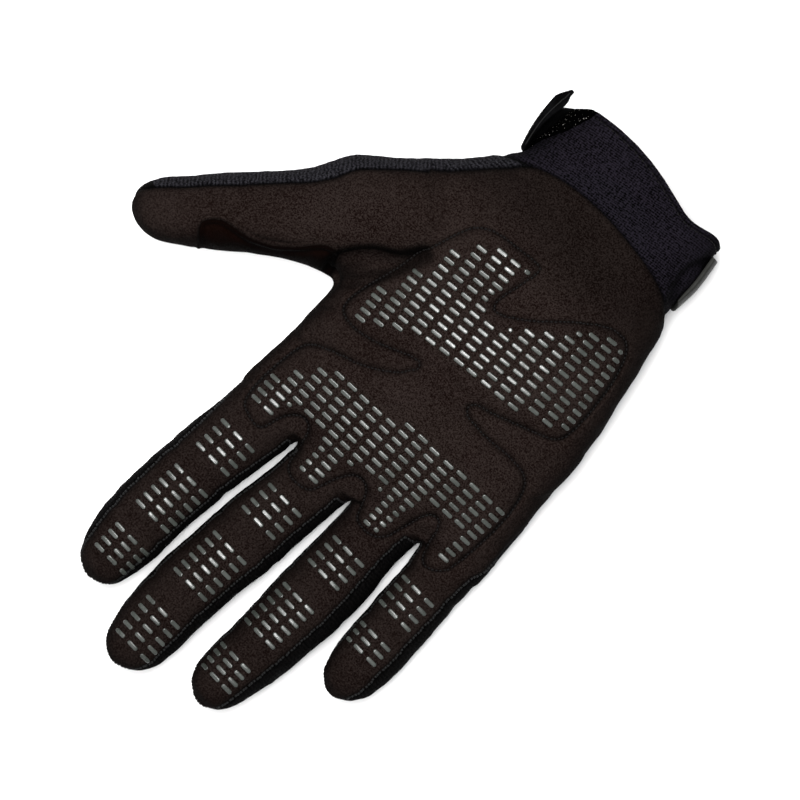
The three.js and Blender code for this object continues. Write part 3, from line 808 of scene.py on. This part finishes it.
def on_top(x, y):
    """The point of the glove's upper skin above a place in plan, and its normal."""
    point, _, number, _ = tree.ray_cast(Vector((x, y, 60.0)), Vector((0, 0, -1)))
    if point is None:
        return None
    normal = skin["normals"][skin["triangles"][number]].mean(0)
    return np.array(point), unit(normal)


def joined(parts):
    """Several lists of points and faces as one."""
    points, faces, start = [], [], 0
    for part_points, part_faces in parts:
        points.append(np.asarray(part_points, float))
        faces.extend([[i + start for i in face] for face in part_faces])
        start += len(part_points)
    return np.vstack(points), faces


def ring_solid(rings):
    """A closed solid through rings of points that turn to the left, seen from the last ring's end."""
    corners = len(rings[0])
    last = (len(rings) - 1) * corners
    faces = [list(reversed(range(corners)))]
    for start in range(0, last, corners):
        for i in range(corners):
            j = (i + 1) % corners
            faces.append([start + i, start + j, start + corners + j, start + corners + i])
    faces.append([last + i for i in range(corners)])
    return [point for ring in rings for point in ring], faces


def cord(points, up, radius, sides=6):
    """A round cord along a line."""
    ahead = unit(np.gradient(points, axis=0))
    aside = unit(np.cross(ahead, up))
    up = np.cross(aside, ahead)
    angles = -2 * math.pi * np.arange(sides) / sides
    around = np.cos(angles)[None, :, None] * aside[:, None] + np.sin(angles)[None, :, None] * up[:, None]
    return ring_solid(points[:, None] + radius * around)


BAR_SIZE = (3.85, 1.36)
BAR_CORNERS = 16
BAR_PROFILE = [  # height, and share of the width
    (-0.35, 1.0), (0.16, 1.0), (0.3, 0.95), (0.38, 0.82), (0.42, 0.62), (0.43, 0.35),
]


def bar(x, y, tilt, start, end):
    """One raised rubber bar with round ends. start and end are the parts of it that are there, -1 to 1."""
    found = on_top(x, y)
    if found is None:
        return None
    seen_x, seen_y = as_drawn(x, y, found[0][2])
    x, y = 2 * x - seen_x, 2 * y - seen_y
    ahead = np.array([math.cos(tilt), math.sin(tilt)])
    aside = np.array([-ahead[1], ahead[0]])
    lean = lambda way: 1 / math.hypot(1, float(found[1][:2] @ way) / max(found[1][2], 0.2))
    half, radius = BAR_SIZE[0] / 2, BAR_SIZE[1] / 2
    centre = np.array([x, y]) + ahead * (start + end) / 2 * half
    reach = max((end - start) / 2 * half - radius, 0.05)
    rings = []
    for height, share in BAR_PROFILE:
        ring = []
        for i in range(BAR_CORNERS):
            angle = 2 * math.pi * (i + 0.5) / BAR_CORNERS
            side = 1 if math.cos(angle) > 0 else -1
            along = (side * reach + radius * share * math.cos(angle)) * lean(ahead)
            across = radius * share * math.sin(angle) * lean(aside)
            found_here = on_top(*(centre + ahead * along + aside * across))
            if found_here is None:
                return None
            ring.append(found_here[0] + found_here[1] * height)
        rings.append(ring)
    return ring_solid(rings)


# The middle one of each finger's three columns: its lowest bar, its highest bar and the number of bars
FINGER_BARS = [
    ("index", (20.7, 89.1), (20.0, 97.8), 4),
    ("index", (22.5, 64.0), (21.9, 79.8), 6),
    ("index", (23.7, 44.4), (23.2, 54.7), 4),
    ("middle", (-2.0, 96.4), (-3.7, 109.9), 5),
    ("middle", (-0.3, 68.4), (-1.0, 84.6), 6),
    ("middle", (-0.2, 46.3), (-0.2, 56.7), 4),
    ("ring", (-26.2, 88.7), (-27.2, 97.2), 4),
    ("ring", (-25.2, 62.5), (-25.6, 78.4), 6),
    ("ring", (-24.4, 41.8), (-24.8, 52.0), 4),
    ("little", (-48.5, 52.4), (-49.1, 58.6), 3),
    ("little", (-46.9, 33.7), (-47.9, 43.8), 4),
]
SIDE_COLUMNS = {"index": (-5.1, 5.3), "middle": (-5.3, 5.2), "ring": (-5.0, 4.6), "little": (-5.4, 4.4)}
COLUMN_SLANT = 0.06  # how much higher a column is for each millimetre to the thumb's side
FINGER_TILT = math.radians(3.5)

# The columns of bars on each pad: the lowest bar, the highest bar, the number of bars, and their share of a
# whole bar
PAD_BARS = {
    "knuckle_pad": [
        ((-45.5, -1.1), (-44.9, 21.1), 9, 1),
        ((-40.1, -0.5), (-40.2, 10.7), 5, 1),
        ((-34.8, 0.1), (-35.4, 11.5), 5, 1),
        ((-36.4, 17.4), (-36.4, 17.4), 1, 0.4),
        ((-29.4, 0.6), (-30.4, 12.2), 5, 1),
        ((-24.5, 1.6), (-25.4, 18.1), 7, 1),
        ((-25.4, 20.8), (-25.2, 28.4), 4, 0.66),
        ((-25.2, 31.1), (-25.2, 31.1), 1, 0.5),
        ((-18.7, 2.2), (-20.6, 18.8), 7, 1),
        ((-20.7, 21.5), (-21.8, 31.8), 5, 0.75),
        ((-13.5, 2.4), (-15.1, 19.5), 7, 1),
        ((-16.6, 22.1), (-16.6, 22.1), 1, 0.4),
        ((-8.2, 3.1), (-10.1, 20.5), 7, 1),
        ((-3.4, 6.6), (-4.9, 21.0), 6, 1),
        ((-4.7, 23.8), (-4.7, 23.8), 1, 0.62),
        ((1.9, 7.4), (-1.2, 35.6), 11, 1),
        ((7.2, 8.0), (4.8, 24.8), 7, 1),
        ((4.2, 27.6), (3.3, 35.9), 4, 0.66),
        ((12.4, 8.4), (10.2, 22.9), 6, 1),
        ((17.5, 9.0), (14.8, 23.5), 6, 1),
        ((21.7, 12.3), (20.0, 23.6), 5, 1),
        ((20.8, 26.3), (20.8, 26.3), 1, 0.5),
        ((25.8, 18.3), (23.6, 32.3), 6, 1),
        ((29.5, 24.4), (28.6, 32.8), 4, 1),
    ],
    "heel_pad": [
        ((-33.1, -60.2), (-38.9, -32.7), 11, 0.9),
        ((-28.3, -60.2), (-34.3, -29.4), 12, 1),
        ((-23.8, -57.0), (-28.9, -28.6), 11, 1),
        ((-20.2, -54.2), (-20.2, -54.2), 1, 0.55),
        ((-19.6, -50.9), (-23.8, -24.7), 10, 1),
        ((-14.7, -47.0), (-18.6, -23.8), 9, 1),
        ((-10.2, -43.0), (-13.3, -23.0), 8, 1),
        ((-5.7, -39.2), (-5.7, -39.2), 1, 0.45),
        ((-6.1, -36.3), (-7.8, -22.0), 6, 1),
        ((-0.4, -35.2), (-2.9, -21.1), 6, 1),
        ((4.2, -54.5), (4.2, -54.5), 1, 0.55),
        ((8.6, -53.5), (7.0, -44.9), 4, 1),
        ((6.9, -42.4), (6.6, -39.6), 2, 0.62),
        ((5.3, -36.8), (2.4, -19.9), 7, 1),
        ((13.7, -52.6), (7.5, -18.7), 13, 1),
        ((18.5, -48.6), (12.7, -17.6), 12, 1),
        ((22.8, -41.5), (17.3, -13.9), 11, 1),
        ((25.7, -29.1), (22.0, -10.4), 8, 1),
        ((28.8, -17.4), (26.6, -7.0), 5, 1),
    ],
}
PAD_TILTS = {"knuckle_pad": math.radians(6.5), "heel_pad": math.radians(10.5)}
BAR_MARGIN = 1.2  # how far a bar stays inside its pad's edge
SIDE_MARGIN = 0.3
LEAST_BAR = 1.0
BAR_SHARES = np.linspace(-1, 1, 27)  # the places along a bar that are tested


def part_bar(x, y, tilt, kept):
    """The kept part of a bar, or nothing where that is too short."""
    if len(kept) and (kept.max() - kept.min()) * BAR_SIZE[0] / 2 > LEAST_BAR:
        return bar(x, y, tilt, kept.min(), kept.max())
    return None


def finger_bars():
    """Three columns in each group, each bar cut short where the finger's side comes near."""
    made = []
    for finger, low, high, count in FINGER_BARS:
        for offset in (SIDE_COLUMNS[finger][0], 0.0, SIDE_COLUMNS[finger][1]):
            for share in np.linspace(0, 1, count):
                x, y = np.array(low) * (1 - share) + np.array(high) * share
                x, y = x + offset, y + COLUMN_SLANT * offset
                middle, half = (float(size) for size in FINGERS[finger].sizes(np.float64(y))[:2])
                kept = BAR_SHARES[np.abs(x + BAR_SHARES * BAR_SIZE[0] / 2 - middle) < half - SIDE_MARGIN]
                made.append(part_bar(x, y, FINGER_TILT, kept))
    return made


def pad_bars(name):
    """The columns of bars on a pad, each bar cut short where the pad's edge comes near."""
    outline = rounded(PADS[name])
    tilt = PAD_TILTS[name]
    reach = BAR_SHARES * BAR_SIZE[0] / 2
    made = []
    for low, high, count, length in PAD_BARS[name]:
        for share in np.linspace(0, 1, count):
            x, y = np.array(low) * (1 - share) + np.array(high) * share
            inside = inside_outline(x + reach * math.cos(tilt), y + reach * math.sin(tilt), outline)
            kept = BAR_SHARES[(inside > BAR_MARGIN) & (np.abs(BAR_SHARES) <= length)]
            made.append(part_bar(x, y, tilt, kept))
    return made


bars = finger_bars() + pad_bars("knuckle_pad") + pad_bars("heel_pad")
objects = {"grip_dashes": make_object("grip_dashes", *joined([one for one in bars if one]))}

# A stitch's rings: how far along it, as a share of its length, then its size and rise as shares of its radius
STITCH_RINGS = [(-0.5, 0.45, -0.25), (-0.3, 1.0, 0.12), (0.3, 1.0, 0.12), (0.5, 0.45, -0.25)]
STITCH_ANGLES = (0.0, 1.047, 2.094, 3.142, 4.189, 5.236)
STITCH_TURN = 2.5  # how far a stitch turns for each part of a millimetre that it strays
HEM_STITCHES = HEM_WIDTH + 0.5
EDGE_LEVEL = 0.3  # how near the palm's seam a part of the suede's edge is, to be sewn as a raised edge
EDGE_ABOVE_Y = 8  # the raised edges run along the fingers only
EDGE_BEFORE_X = 38
EDGE_STEP = 0.8
LEAST_LOOP = 40  # the fewest points of an edge, and of a run on it, that gets stitches
LEAST_RUN = 20
BAND_BEVEL = 0.00035


def stitches(lines, pitch, length, radius, lift=0.0, uneven=0.0):
    """Short rounded stitches along lines on the skin. uneven is how far they stray from the line."""
    made = []
    stray = np.random.default_rng(5)
    for line_points, line_normals in lines:
        places, ahead, up = resampled(line_points, line_normals, pitch)
        for p, d, n in zip(places, ahead, up):
            side = np.cross(d, n)
            aside, along, turn = stray.uniform(-1, 1, 3) * uneven
            p = p + aside * side + along * d
            d = unit(d + STITCH_TURN * turn * side)
            side = np.cross(d, n)
            rings = []
            for t, size, rise in STITCH_RINGS:
                centre = p + d * t * length + n * (lift + rise * radius)
                around = [math.cos(angle) * side + math.sin(angle) * n for angle in STITCH_ANGLES]
                rings.append([centre + radius * size * way for way in around])
            made.append(ring_solid(rings))
    return made


quilt_lines = level_lines(whole_palm, "quilt", 0.1)
stitch_parts = stitches(quilt_lines, pitch=1.3, length=0.95, radius=0.3, uneven=0.12)
hem_lines = level_lines(cuff_skin, "mouth", HEM_STITCHES)
stitch_parts += stitches(hem_lines, pitch=1.6, length=1.2, radius=0.16, lift=0.03)
objects["stitches"] = make_object("stitches", *joined(stitch_parts))

edge_parts = []
for loop in chained(border(edge_skin["triangles"])):
    loop = loop[:-1] if loop[0] == loop[-1] else loop
    if len(loop) < LEAST_LOOP:
        continue
    line, ups = edge_skin["points"][loop], edge_skin["normals"][loop]
    on_finger = (line[:, 1] > EDGE_ABOVE_Y) & (line[:, 0] < EDGE_BEFORE_X)
    seam = (np.abs(edge_skin["values"]["palm"][loop]) < EDGE_LEVEL) & on_finger
    runs = np.split(np.arange(len(loop)), np.flatnonzero(np.diff(seam.astype(int))) + 1)
    for run in runs:
        if seam[run[0]] and len(run) > LEAST_RUN:
            places, _, up = resampled(line[run], ups[run], EDGE_STEP)
            run_line = [(places, up)]
            edge_parts += stitches(run_line, pitch=1.05, length=1.0, radius=0.4, lift=0.05, uneven=0.2)
for name, part in skins.items():
    wall = CUFF_WALL if name == "cuff" else WALL
    objects[name] = thickened(name, part, wall, FINISH_VALUES)


def band(name, start, end, clearance, thickness, edges, steps=40, rows=14):
    """A strap round the cuff, from one angle to another, as a closed sheet with rounded edges.

    clearance and thickness take the share of the way round and the share of the way up, both from 0 to 1.
    edges takes the share of the way round and gives the strap's lowest and highest y. end may follow y.
    """
    inner, outer = [], []
    for i in range(steps + 1):
        share = i / steps
        low, high = edges(share)
        for j in range(rows + 1):
            up = j / rows
            y = low + (high - low) * up
            last = end(y) if callable(end) else end
            angle = math.radians(start + (last - start) * share)
            for layer, out in ((inner, 0.0), (outer, thickness(share, up))):
                x, z = HAND.on_section(np.float64(y), angle, clearance(share, up) + out)
                layer.append([float(x), y, max(float(z), 0.0)])
    count = rows + 1
    base = (steps + 1) * count
    faces = []
    for i in range(steps):
        for j in range(rows):
            a = i * count + j
            faces.append([a, a + count, a + count + 1, a + 1])
            faces.append([base + a, base + a + 1, base + a + count + 1, base + a + count])
        a, b = i * count, i * count + rows
        faces.append([base + a, base + a + count, a + count, a])
        faces.append([b, b + count, base + b + count, base + b])
    for j in range(rows):
        a, b = j, steps * count + j
        faces.append([base + a + 1, base + a, a, a + 1])
        faces.append([base + b, base + b + 1, b + 1, b])
    made = make_object(name, np.array(inner + outer), faces)
    bevel = made.modifiers.new("bevel", "BEVEL")
    bevel.width = BAND_BEVEL
    bevel.segments = 3
    bevel.limit_method = "ANGLE"
    bevel.angle_limit = math.radians(50)
    return made


STRAP_ANGLES = (168, 292)  # the degrees round the cuff, from the thumb's side over the palm
TAB_ANGLES = (294, 369)
PATCH_ANGLES = (325, 394)
STRAP_LOW = -100.6  # the lowest y of the strap and its free end
# The loop patch's curved border: y, and the angle where the patch ends there
PATCH_BORDER = [(-101.5, 395), (-98.5, 396), (-94.3, 392), (-90.5, 388), (-85.7, 377), (-82, 360), (-80, 348)]


def round_cuff(y, angles, share):
    """The x of the cuff's section at a share of the way between two angles."""
    return float(HAND.on_section(y, math.radians(angles[0] + (angles[1] - angles[0]) * share))[0])


def strap_edges(share):
    """The sewn strap is widest behind the wrist and narrows to a crescent at its seen end."""
    narrow = 1 - smooth_step(np.float64(share), 0, 0.22)
    seam = line_at(CUFF_SEAM, round_cuff(-88.0, STRAP_ANGLES, share))
    return STRAP_LOW + 0.7 * narrow, seam - 1.0 - 2.8 * narrow


def strap_thickness(share, up):
    """The sewn strap starts thin at its seen end and thins towards its upper edge."""
    return (1.3 + 1.1 * min(share / 0.15, 1)) * (1 - 0.5 * up**4)


def tab_edges(share):
    """The free end's corner at the cuff's mouth is the part that stands off furthest."""
    inset = 5.5 * smooth_step(np.float64(share), 0.35, 0.8) * (1 - smooth_step(np.float64(share), 0.84, 1.0))
    seam = line_at(CUFF_SEAM, round_cuff(-88.0, TAB_ANGLES, share))
    return STRAP_LOW + inset, min(seam - 1.0, -77.5)


def tab_thickness(share, up):
    """The free end is thickest at its outer corner, where its two layers part."""
    corner = float(smooth_step(np.float64(up), 0, 0.24))
    return 1.2 + 1.0 * corner * (1 - up**2) + 4.0 * share**4 * corner * (1 - up) ** 2


def tab_clearance(share, up):
    """The free end stands off the cuff, most of all at its outer corner."""
    outside = 3.0 + 3.6 * share**2 * (1 - up) - 1.2 * up**2 + 2.6 * share * min(1.0, 5 * up) * (1 - up**4)
    return max(outside - tab_thickness(share, up), 0.3)


def patch_end(y):
    """The angle where the loop patch ends."""
    return float(np.interp(y, *zip(*PATCH_BORDER)))


def patch_edges(share):
    return line_at(CUFF_EDGE, round_cuff(-98.0, PATCH_ANGLES, share)) + 0.3, -80.5


objects["wrist_strap"] = band(
    "wrist_strap", *STRAP_ANGLES, lambda share, up: 0.1, strap_thickness, strap_edges
)
objects["strap_tab"] = band("strap_tab", *TAB_ANGLES, tab_clearance, tab_thickness, tab_edges)
objects["loop_patch"] = band(
    "loop_patch", PATCH_ANGLES[0], patch_end, lambda share, up: 0.25, lambda share, up: 1.1, patch_edges,
    rows=24,
)


def tab_line():
    """The raised edge between the two layers of the strap's free end."""
    low, high = tab_edges(1.0)
    line = []
    for up in np.linspace(0.06, 0.94, 40):
        y = low + (high - low) * up
        out = tab_clearance(1.0, up) + 0.45 * tab_thickness(1.0, up)
        x, z = HAND.on_section(np.float64(y), math.radians(TAB_ANGLES[1]), out)
        line.append((float(x), y, float(z)))
    return np.array(line)


edge_parts.append(cord(tab_line(), up=np.array([0.0, 0.0, 1.0]), radius=0.17))
objects["seam_edges"] = make_object("seam_edges", *joined(edge_parts))


class Finish:
    """A material made of nodes, with short names for the ones used here. Sizes are in millimetres."""

    def __init__(self, name, roughness, specular):
        self.material = bpy.data.materials.new(name)
        self.material.use_nodes = True
        self.nodes, self.links = self.material.node_tree.nodes, self.material.node_tree.links
        self.shader = self.nodes["Principled BSDF"]
        self.put(self.shader, {"Roughness": roughness, "Specular IOR Level": specular})
        self.place = self.nodes.new("ShaderNodeTexCoord").outputs["Object"]

    def put(self, node, values):
        """Links each value that is a socket, and sets each one that is a number."""
        for socket, value in values.items():
            if isinstance(value, bpy.types.NodeSocket):
                self.links.new(value, node.inputs[socket])
            else:
                node.inputs[socket].default_value = value

    def add(self, kind, output, values, **settings):
        """The output of a new node."""
        node = self.nodes.new("ShaderNode" + kind)
        for name, setting in settings.items():
            setattr(node, name, setting)
        self.put(node, values)
        return node.outputs[output]

    def scaled(self, size):
        return self.add("Mapping", 0, {"Vector": self.place, "Scale": [1000 / size] * 3})

    def noise(self, size, detail=3.0, roughness=0.55):
        values = {"Vector": self.scaled(size), "Scale": 1.0, "Detail": detail, "Roughness": roughness}
        return self.add("TexNoise", "Fac", values)

    def cells(self, size):
        return self.add("TexVoronoi", "Distance", {"Vector": self.scaled(size), "Scale": 1.0})

    def value(self, name):
        return self.add("Attribute", "Fac", {}, attribute_name=name)

    def axis(self, name):
        return self.add("SeparateXYZ", name, {0: self.place})

    def math(self, operation, a, b=0.0, c=0.0):
        return self.add("Math", 0, {0: a, 1: b, 2: c}, operation=operation)

    def total(self, *terms):
        """The sum of some values, each times its share."""
        result = 0.0
        for value, share in terms:
            result = self.math("MULTIPLY_ADD", value, share, result)
        return result

    def wave(self, value, length):
        """From 0 to 1 and back once in each length."""
        turned = self.math("MULTIPLY", value, 2 * math.pi / length)
        return self.math("MULTIPLY_ADD", self.math("SINE", turned), 0.5, 0.5)

    def ramp(self, value, *stops):
        """A colour between two, each given after the value at which it starts."""
        node = self.nodes.new("ShaderNodeValToRGB")
        for mark, (at, colour) in zip(node.color_ramp.elements, stops):
            mark.position = at
            mark.color = (*colour, 1)
        self.put(node, {0: value})
        return node.outputs[0]

    def span(self, value, low, high, at_low, at_high):
        """From at_low to at_high while the value goes from low to high."""
        values = {"Value": value, "From Min": low, "From Max": high, "To Min": at_low, "To Max": at_high}
        return self.add("MapRange", 0, values)

    def shaded(self, colour, value, between, shares):
        """The colour times a share that goes from one to another while the value goes between two."""
        values = {0: 1.0, 6: colour, 7: self.span(value, *between, *shares)}
        return self.add("Mix", 2, values, data_type="RGBA", blend_type="MULTIPLY")

    def bump(self, height, strength, depth, before=None):
        values = {"Height": height, "Strength": strength, "Distance": depth / 1000}
        if before is not None:
            values["Normal"] = before
        return self.add("Bump", 0, values)

    def done(self, colour, normal, roughness=None):
        self.put(self.shader, {"Base Color": colour, "Normal": normal})
        if roughness is not None:
            self.put(self.shader, {"Roughness": roughness})
        return self.material


def linear(*colour):
    """An sRGB colour given from 0 to 255, as the linear values that a shader takes."""
    shares = [c / 255 for c in colour]
    return tuple(c / 12.92 if c <= 0.04045 else ((c + 0.055) / 1.055) ** 2.4 for c in shares)


CLOTH = {"roughness": 0.95, "specular": 0.02}
RUBBERS = {
    "grip": {"roughness": 0.26, "specular": 0.4, "grain_size": 1.5, "bump": 0.05},
    "strap": {"roughness": 0.55, "specular": 0.06, "grain_size": 0.6, "bump": 0.2},
    "tab": {"roughness": 0.9, "specular": 0.02, "grain_size": 0.8, "bump": 0.9},
}
COURSE_PITCH = 0.7  # the cuff knit's rows, and across them its columns
COLUMN_PITCH = 1.0
KNIT_TURN = math.radians(15)


def suede(name, light, dark):
    """Brushed suede, with painted shade in its seams' grooves and in its folds, and painted shade where it
    faces less upwards and on the heel and the fingers.
    """
    made = Finish(name, **CLOTH)
    clouds = made.noise(22, detail=3, roughness=0.55)
    spots = made.noise(2.6, detail=3, roughness=0.6)
    grain = made.noise(0.5, detail=2, roughness=0.7)
    tone = made.total((clouds, 0.14), (spots, 0.06), (grain, 0.8))
    colour = made.ramp(tone, (0.41, dark), (0.6, light))
    # Painted shade: in the seams' grooves, in the folds, and away from the upward-facing middle of the palm.
    colour = made.shaded(colour, made.value("seam"), (0.15, 0.8), (0.4, 1.0))
    colour = made.shaded(colour, made.value("fold"), (0.0, 1.0), (1.0, 0.35))
    colour = made.shaded(colour, made.value("worn"), (0.0, 1.0), (0.35, 1.0))
    normal = made.bump(grain, strength=1.0, depth=0.3)
    return made.done(colour, made.bump(spots, strength=0.5, depth=0.5, before=normal))


def rib_knit(name, light, dark):
    """A knit with ribs across each finger and the hand, and uneven loops."""
    made = Finish(name, **CLOTH)
    wander = made.noise(3, detail=2, roughness=0.5)
    ribs = made.wave(made.total((wander, 1.5), (made.value("rib"), 1.0)), RIB_PITCH)
    fuzz = made.noise(0.45, detail=3, roughness=0.7)
    height = made.total((ribs, 0.25), (fuzz, 1.2), (made.cells(0.65), -0.55))
    colour = made.ramp(height, (0.25, dark), (0.75, light))
    # Painted shade along the seams' grooves.
    colour = made.shaded(colour, made.value("seam"), (0.3, 1.0), (0.1, 1.0))
    return made.done(colour, made.bump(height, strength=0.9, depth=0.4))


def cuff_knit(name, light, dark):
    """A finer knit of rows and columns, with painted shade in its fold, along its seam and on its sides, and
    darker at its hem's stitches.
    """
    made = Finish(name, **CLOTH)
    x, y = made.axis("X"), made.axis("Y")
    cosine, sine = 1000 * math.cos(KNIT_TURN), 1000 * math.sin(KNIT_TURN)
    wander = (made.noise(3, detail=2, roughness=0.5), 0.9)
    rows = made.wave(made.total((x, -sine), (y, cosine), wander), COURSE_PITCH)
    columns = made.wave(made.total((x, cosine), (y, sine), wander), COLUMN_PITCH)
    fuzz = made.noise(0.75, detail=3, roughness=0.8)
    height = made.total((rows, 0.1), (columns, 0.06), (fuzz, 0.7))
    clouds = made.noise(14, detail=3, roughness=0.6)
    tone = made.total((height, 1.0), (clouds, 0.1))
    colour = made.ramp(tone, (0.4, dark), (0.56, light))
    # Painted shade: in the fold, along the seam under the suede's edge, and where the cuff faces less
    # upwards.
    colour = made.shaded(colour, made.value("fold"), (0.0, 1.0), (1.0, 0.4))
    colour = made.shaded(colour, made.math("ABSOLUTE", made.value("cuff")), (0.1, 0.9), (0.2, 1.0))
    colour = made.shaded(colour, made.value("worn"), (0.0, 1.0), (0.4, 1.0))
    from_hem = made.math("ABSOLUTE", made.math("SUBTRACT", made.value("mouth"), HEM_WIDTH))
    colour = made.shaded(colour, from_hem, (0.1, 0.5), (0.35, 1.0))
    return made.done(colour, made.bump(height, strength=0.8, depth=0.45))


def rubber(name, light, dark, roughness, specular, grain_size, bump):
    """Rubber with a fine grain that also makes it duller in spots."""
    made = Finish(name, roughness, specular)
    grain = made.noise(grain_size, detail=3, roughness=0.6)
    colour = made.ramp(made.noise(5, detail=3, roughness=0.55), (0.35, dark), (0.65, light))
    worn = made.span(grain, 0.35, 0.7, roughness - 0.08, roughness + 0.15)
    return made.done(colour, made.bump(grain, strength=bump, depth=0.05), worn)


def thread(name, light, dark):
    made = Finish(name, roughness=0.6, specular=0.1)
    strands = made.noise(0.22, detail=2, roughness=0.6)
    colour = made.ramp(strands, (0.3, dark), (0.7, light))
    return made.done(colour, made.bump(strands, strength=0.6, depth=0.06))


def loop_pile(name, light, dark):
    """Dark pile with a light speck on the top of some loops."""
    made = Finish(name, roughness=0.8, specular=0.0)
    loops = made.math("SUBTRACT", 0.5, made.cells(0.9))
    height = made.math("MULTIPLY_ADD", made.noise(1.1, detail=3, roughness=0.7), 0.9, loops)
    colour = made.ramp(height, (0.78, dark), (0.86, light))
    return made.done(colour, made.bump(height, strength=1.0, depth=0.5))


finishes = {
    "suede": suede("suede", linear(31, 25, 23), linear(8, 3, 2)),
    # The gusset's suede is the suede painted much darker, as painted shade for the crotch between the thumb
    # and the index finger.
    "gusset_suede_painted_shade": suede("gusset_suede_painted_shade", linear(9, 3, 2), linear(5, 1, 0)),
    "dark_knit": rib_knit("dark_knit", linear(9, 8, 8), linear(1, 1, 1)),
    "rib_knit": rib_knit("rib_knit", linear(38, 37, 41), linear(2, 2, 3)),
    "cuff_knit": cuff_knit("cuff_knit", linear(28, 25, 32), linear(0, 0, 0)),
    "grip": rubber("grip_silicone", linear(53, 56, 53), linear(38, 41, 38), **RUBBERS["grip"]),
    "strap": rubber("strap_rubber", linear(32, 32, 30), linear(24, 24, 22), **RUBBERS["strap"]),
    "tab": rubber("tab_rubber", linear(7, 7, 8), linear(1, 1, 1), **RUBBERS["tab"]),
    "thread": thread("thread", linear(14, 11, 11), linear(1, 1, 1)),
    "seam_edge": thread("seam_edge", linear(22, 22, 22), linear(1, 1, 1)),
    "loops": loop_pile("loop_pile", linear(105, 102, 98), linear(1, 1, 1)),
}

# Each piece: its finish, the record's slot, the CAD node that it stands for, and how full it is if it is
# padded. The last three have no node of their own.
PIECES = {
    "palm_panel": ("suede", "suede", "palm_panel", None),
    "palm_tips": ("suede", "suede", "palm_panel", None),
    "heel_pad": ("suede", "suede", "heel_pad", 0.7),
    "knuckle_pad": ("suede", "suede", "knuckle_pad", 0.7),
    "crease_pad_little": ("suede", "suede", "crease_pad_little", 0.7),
    "crease_pad_thumb": ("suede", "suede", "crease_pad_thumb", 0.7),
    "thumb_gusset": ("gusset_suede_painted_shade", "suede", "thumb_gusset", None),
    "side_strip_index_middle": ("dark_knit", "rib_knit", "side_strip_index_middle", None),
    "side_strip_middle_ring": ("dark_knit", "rib_knit", "side_strip_middle_ring", None),
    "side_strip_ring_little": ("dark_knit", "rib_knit", "side_strip_ring_little", None),
    "back_fingers": ("dark_knit", "rib_knit", "back_panel", None),
    "back_hand": ("rib_knit", "rib_knit", "back_panel", None),
    "cuff": ("cuff_knit", "cuff_knit", "cuff", None),
    "wrist_strap": ("strap", "strap_rubber", "wrist_strap", None),
    "strap_tab": ("tab", "strap_rubber", "strap_tab", None),
    "loop_patch": ("loops", "loop_pile", "loop_patch", None),
    "grip_dashes": ("grip", "grip_silicone", None, None),
    "stitches": ("thread", "thread", None, None),
    "seam_edges": ("seam_edge", "thread", None, None),
}
for name, (finish, slot, node, fill) in PIECES.items():
    piece = objects[name]
    piece.data.materials.append(finishes[finish])
    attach(piece, "root")
    if node:
        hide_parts(node)

VIEW_CENTRE = Vector(to_frame([0.0, 0.0, VIEW_LEVEL]))
VIEW_UP = Vector((0.75904478, -0.65103841, 0.0))  # what is up in the picture
UP = Vector((0, 0, 1))
camera = bpy.data.objects.new("camera", bpy.data.cameras.new("camera"))
bpy.context.scene.collection.objects.link(camera)
camera.data.lens = VIEW_LENS
camera.data.sensor_width = VIEW_SENSOR
right = VIEW_UP.cross(UP)
turn = Matrix((right, VIEW_UP, UP)).transposed()
camera.matrix_world = Matrix.Translation(VIEW_CENTRE + UP * VIEW_HEIGHT / 1000) @ turn.to_4x4()
bpy.context.scene.camera = camera

FLOOR_HALF = 4000.0
FLOOR_GREYS = [(0.3, (0.82, 0.82, 0.82)), (0.7, (0.84, 0.84, 0.84))]
corners = [(x * FLOOR_HALF, y * FLOOR_HALF, 0) for x, y in ((-1, -1), (1, -1), (1, 1), (-1, 1))]
floor = make_object("floor", corners, [[0, 1, 2, 3]])
paper = Finish("floor_paper", roughness=0.85, specular=0.2)
tint = paper.ramp(paper.noise(60, detail=2), *FLOOR_GREYS)
floor.data.materials.append(paper.done(tint, paper.bump(paper.noise(0.8), strength=0.05, depth=0.05)))

# Each lamp's place beside and ahead of the view's centre and its height, in metres, then its size and power
LIGHTS = {
    "softbox_key": {"out": (-0.05, 0.16), "up": 0.62, "size": 0.4, "power": 7.0},
    "softbox_top": {"out": (-0.1, -0.1), "up": 1.25, "size": 0.35, "power": 9.0},
    "softbox_fill": {"out": (-0.9, -0.5), "up": 0.9, "size": 0.9, "power": 4.0},
}
for name, light in LIGHTS.items():
    lamp = bpy.data.lights.new(name, "AREA")
    lamp.shape = "DISK"
    lamp.size = light["size"]
    lamp.energy = light["power"]
    made = bpy.data.objects.new(name, lamp)
    bpy.context.scene.collection.objects.link(made)
    aside, ahead = light["out"]
    spot = right * aside + VIEW_UP * ahead + UP * light["up"]
    made.location = VIEW_CENTRE + spot
    made.rotation_mode = "QUATERNION"
    made.rotation_quaternion = spot.to_track_quat("Z", "Y")

SKY_GREYS = [(0.1, 0.12), (0.75, 1.0)]  # how far up, and the grey there
SKY_STRENGTH = 0.7
world = bpy.data.worlds.new("studio")
world.use_nodes = True
nodes, links = world.node_tree.nodes, world.node_tree.links
sky, height, shade = (nodes.new("ShaderNode" + kind) for kind in ("TexCoord", "SeparateXYZ", "ValToRGB"))
for mark, (place, grey) in zip(shade.color_ramp.elements, SKY_GREYS):
    mark.position = place
    mark.color = (grey, grey, grey, 1)
links.new(sky.outputs["Generated"], height.inputs[0])
links.new(height.outputs["Z"], shade.inputs[0])
links.new(shade.outputs[0], nodes["Background"].inputs["Color"])
nodes["Background"].inputs["Strength"].default_value = SKY_STRENGTH
bpy.context.scene.world = world
bpy.context.scene.view_settings.view_transform = "Standard"
